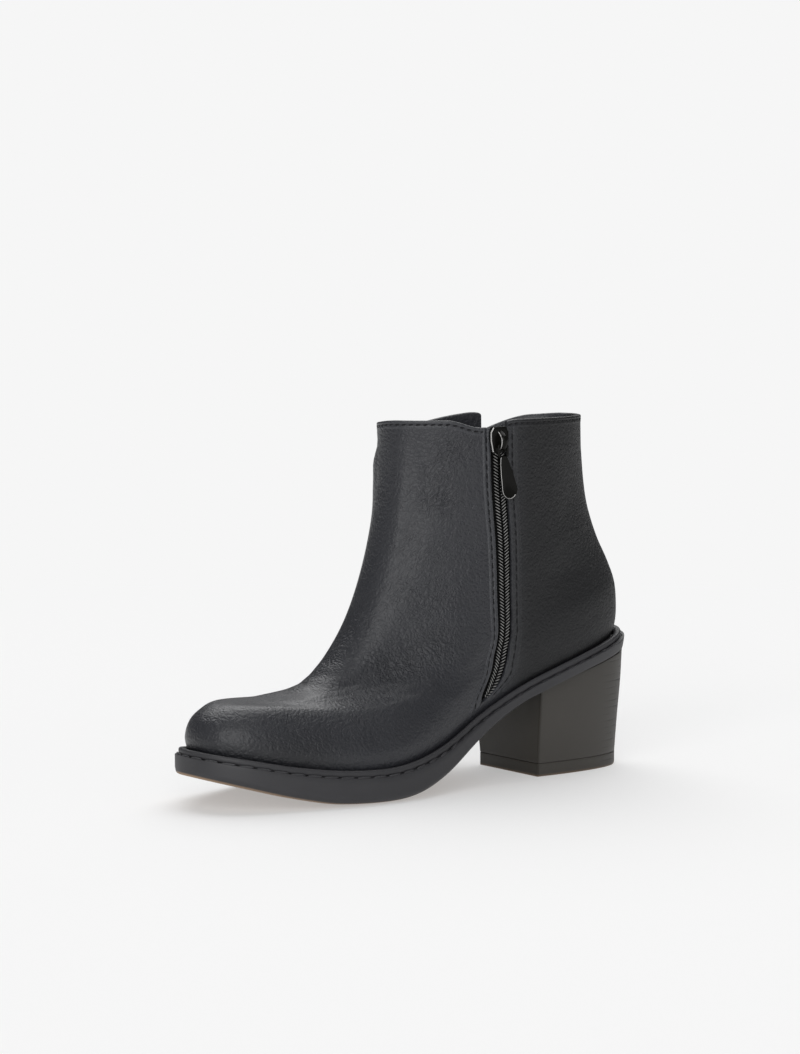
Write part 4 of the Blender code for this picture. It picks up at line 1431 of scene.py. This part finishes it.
def make_foot_bed(leather):
    def rim(angle, row):
        base = last(angle, 0 * angle)
        return edge_points(angle, -(WALL + 2.5 * GAP) - sole_value("margin", base[:, 1]))

    def heights(y, row):
        return sole_value("top", y) + GAP + INSOLE_THICKNESS * row[:, 1]

    bed = spine_loft("foot_bed", 200, BED_PROFILE, rim, heights)
    smooth_faces(bed)
    finish_piece(bed, leather, "lining", "insole")


# Camera, floor and light

VIEW_AZIMUTH = math.radians(54.732)
VIEW_DISTANCE = 1.400
VIEW_HEIGHT = 0.230
VIEW_TARGET = np.array([-2.002, -2.830, 115.649]) * MM
FOCAL_PIXELS = 3131
IMAGE_HEIGHT = 1054
SENSOR = 36.0
FLOOR_RADIUS = 60.0
FLOOR_DROP = 0.00002
FLOOR_GLOW = 0.34
FLOOR_PALE = 0.57
FLOOR_NEAR = 0.25
FLOOR_FAR = 0.9

# Light: the direction it comes from, its spread in degrees and its strength
OVERHEAD = ((-0.46, 0.36, 1.0), 66, 2.40)
KEY = ((0.71, -0.70, 0.40), 52, 1.60)
# The room's tone halfway round, how much it varies, and the way to its bright side
ROOM_TONE = 0.18
ROOM_RANGE = 0.18
ROOM_BRIGHT_SIDE = (0.75, -0.66, 0.0)
SWEEP_TONE = grey(0.922)


def make_camera():
    eye = np.array([math.sin(VIEW_AZIMUTH), -math.cos(VIEW_AZIMUTH), 0]) * VIEW_DISTANCE
    eye = eye + np.array([0, 0, VIEW_HEIGHT]) - CENTRE
    data = bpy.data.cameras.new("camera")
    data.sensor_width = SENSOR
    data.lens = FOCAL_PIXELS / IMAGE_HEIGHT * SENSOR
    data.clip_start = 0.05
    data.clip_end = 30
    camera = add_object("camera", data)
    camera.location = eye
    look = Vector(VIEW_TARGET - CENTRE - eye)
    camera.rotation_euler = look.to_track_quat("-Z", "Y").to_euler()
    bpy.context.scene.camera = camera


def make_floor():
    """A wide pale floor that runs out into the white of the sweep."""
    f = Finish("studio_floor", Specular_IOR_Level=0.0, Emission_Strength=1.0)
    x, y, _ = f.axes()
    far = (x * x + y * y).between(FLOOR_NEAR ** 2, FLOOR_FAR ** 2)
    tone = f.noise(0.4, 2.0)
    pale = f.blend(tone, grey(FLOOR_PALE - 0.001), grey(FLOOR_PALE + 0.001))
    colour = f.blend(far, pale, grey(0.0))
    f.feed(f.shader.inputs["Emission Color"], f.blend(far, grey(FLOOR_GLOW), SWEEP_TONE))
    floor = disc("studio_floor", 96, FLOOR_RADIUS)
    move_points(floor, points_of(floor) - np.array([0, 0, FLOOR_DROP]))
    floor.data.materials.append(f.finish(colour, 0.8))


def make_light(name, source, spread, strength):
    """A very wide far-off lamp that shines from the source's direction, soft over the spread in degrees."""
    data = bpy.data.lights.new(name, "SUN")
    data.angle = math.radians(spread)
    data.energy = strength
    light = add_object(name, data)
    light.rotation_euler = Vector(source).to_track_quat("Z", "Y").to_euler()
    light.location = Vector(source) * 3


def make_studio():
    """Dim grey surroundings, a white sweep, a broad light from above and one from the toe and zip side."""
    world = bpy.data.worlds.new("studio")
    bpy.context.scene.world = world
    world.use_nodes = True
    sky = Nodes(world.node_tree)
    where = sky.node("ShaderNodeTexCoord", {}, {}, "Generated")
    facing = sky.node(
        "ShaderNodeVectorMath", {"operation": "DOT_PRODUCT"}, {0: where, 1: ROOM_BRIGHT_SIDE}, "Value",
    )
    room = sky.tree.nodes["Background"]
    sky.feed(room.inputs["Color"], facing * ROOM_RANGE + ROOM_TONE)
    sweep = sky.node("ShaderNodeBackground", {}, {"Color": SWEEP_TONE})
    seen = sky.node("ShaderNodeLightPath", {}, {}, "Is Camera Ray")
    choose = sky.node("ShaderNodeMixShader", {}, {0: seen, 1: Value(sky, room.outputs[0]), 2: sweep})
    sky.feed(sky.tree.nodes["World Output"].inputs["Surface"], choose)
    make_light("overhead", *OVERHEAD)
    make_light("key", *KEY)
    bpy.context.scene.view_settings.view_transform = "Standard"


leather = charcoal_leather("charcoal_leather", (0.0185, 0.0192, 0.0235, 1), (0.0285, 0.0297, 0.0345, 1))
# A lighter copy of the leather for the turned edges of the collar and the zip: a painted highlight where
# their rolled edges catch the light.
highlight_edge_leather = charcoal_leather("turned_edge_highlight_leather", (0.026, 0.0272, 0.032, 1), (0.040, 0.0415, 0.047, 1))
rubber = sole_rubber()
heel_cover = heel_rubber()
lining = lining_cloth()
thread = thread_cotton()
metal = black_metal()
highlight_metal = painted_highlight_edge_metal()
make_camera()
make_upper(leather, lining)
make_collar(highlight_edge_leather, thread)
make_zip_edges(highlight_edge_leather, thread)
make_zip(tape_cloth(), coil_plastic())
make_slider(metal, highlight_metal)
make_pull(metal, highlight_metal)
make_strap(leather, thread)
make_welt(rubber)
make_sole(rubber)
make_heel(heel_cover)
make_foot_bed(foot_bed_leather())
make_floor()
make_studio()
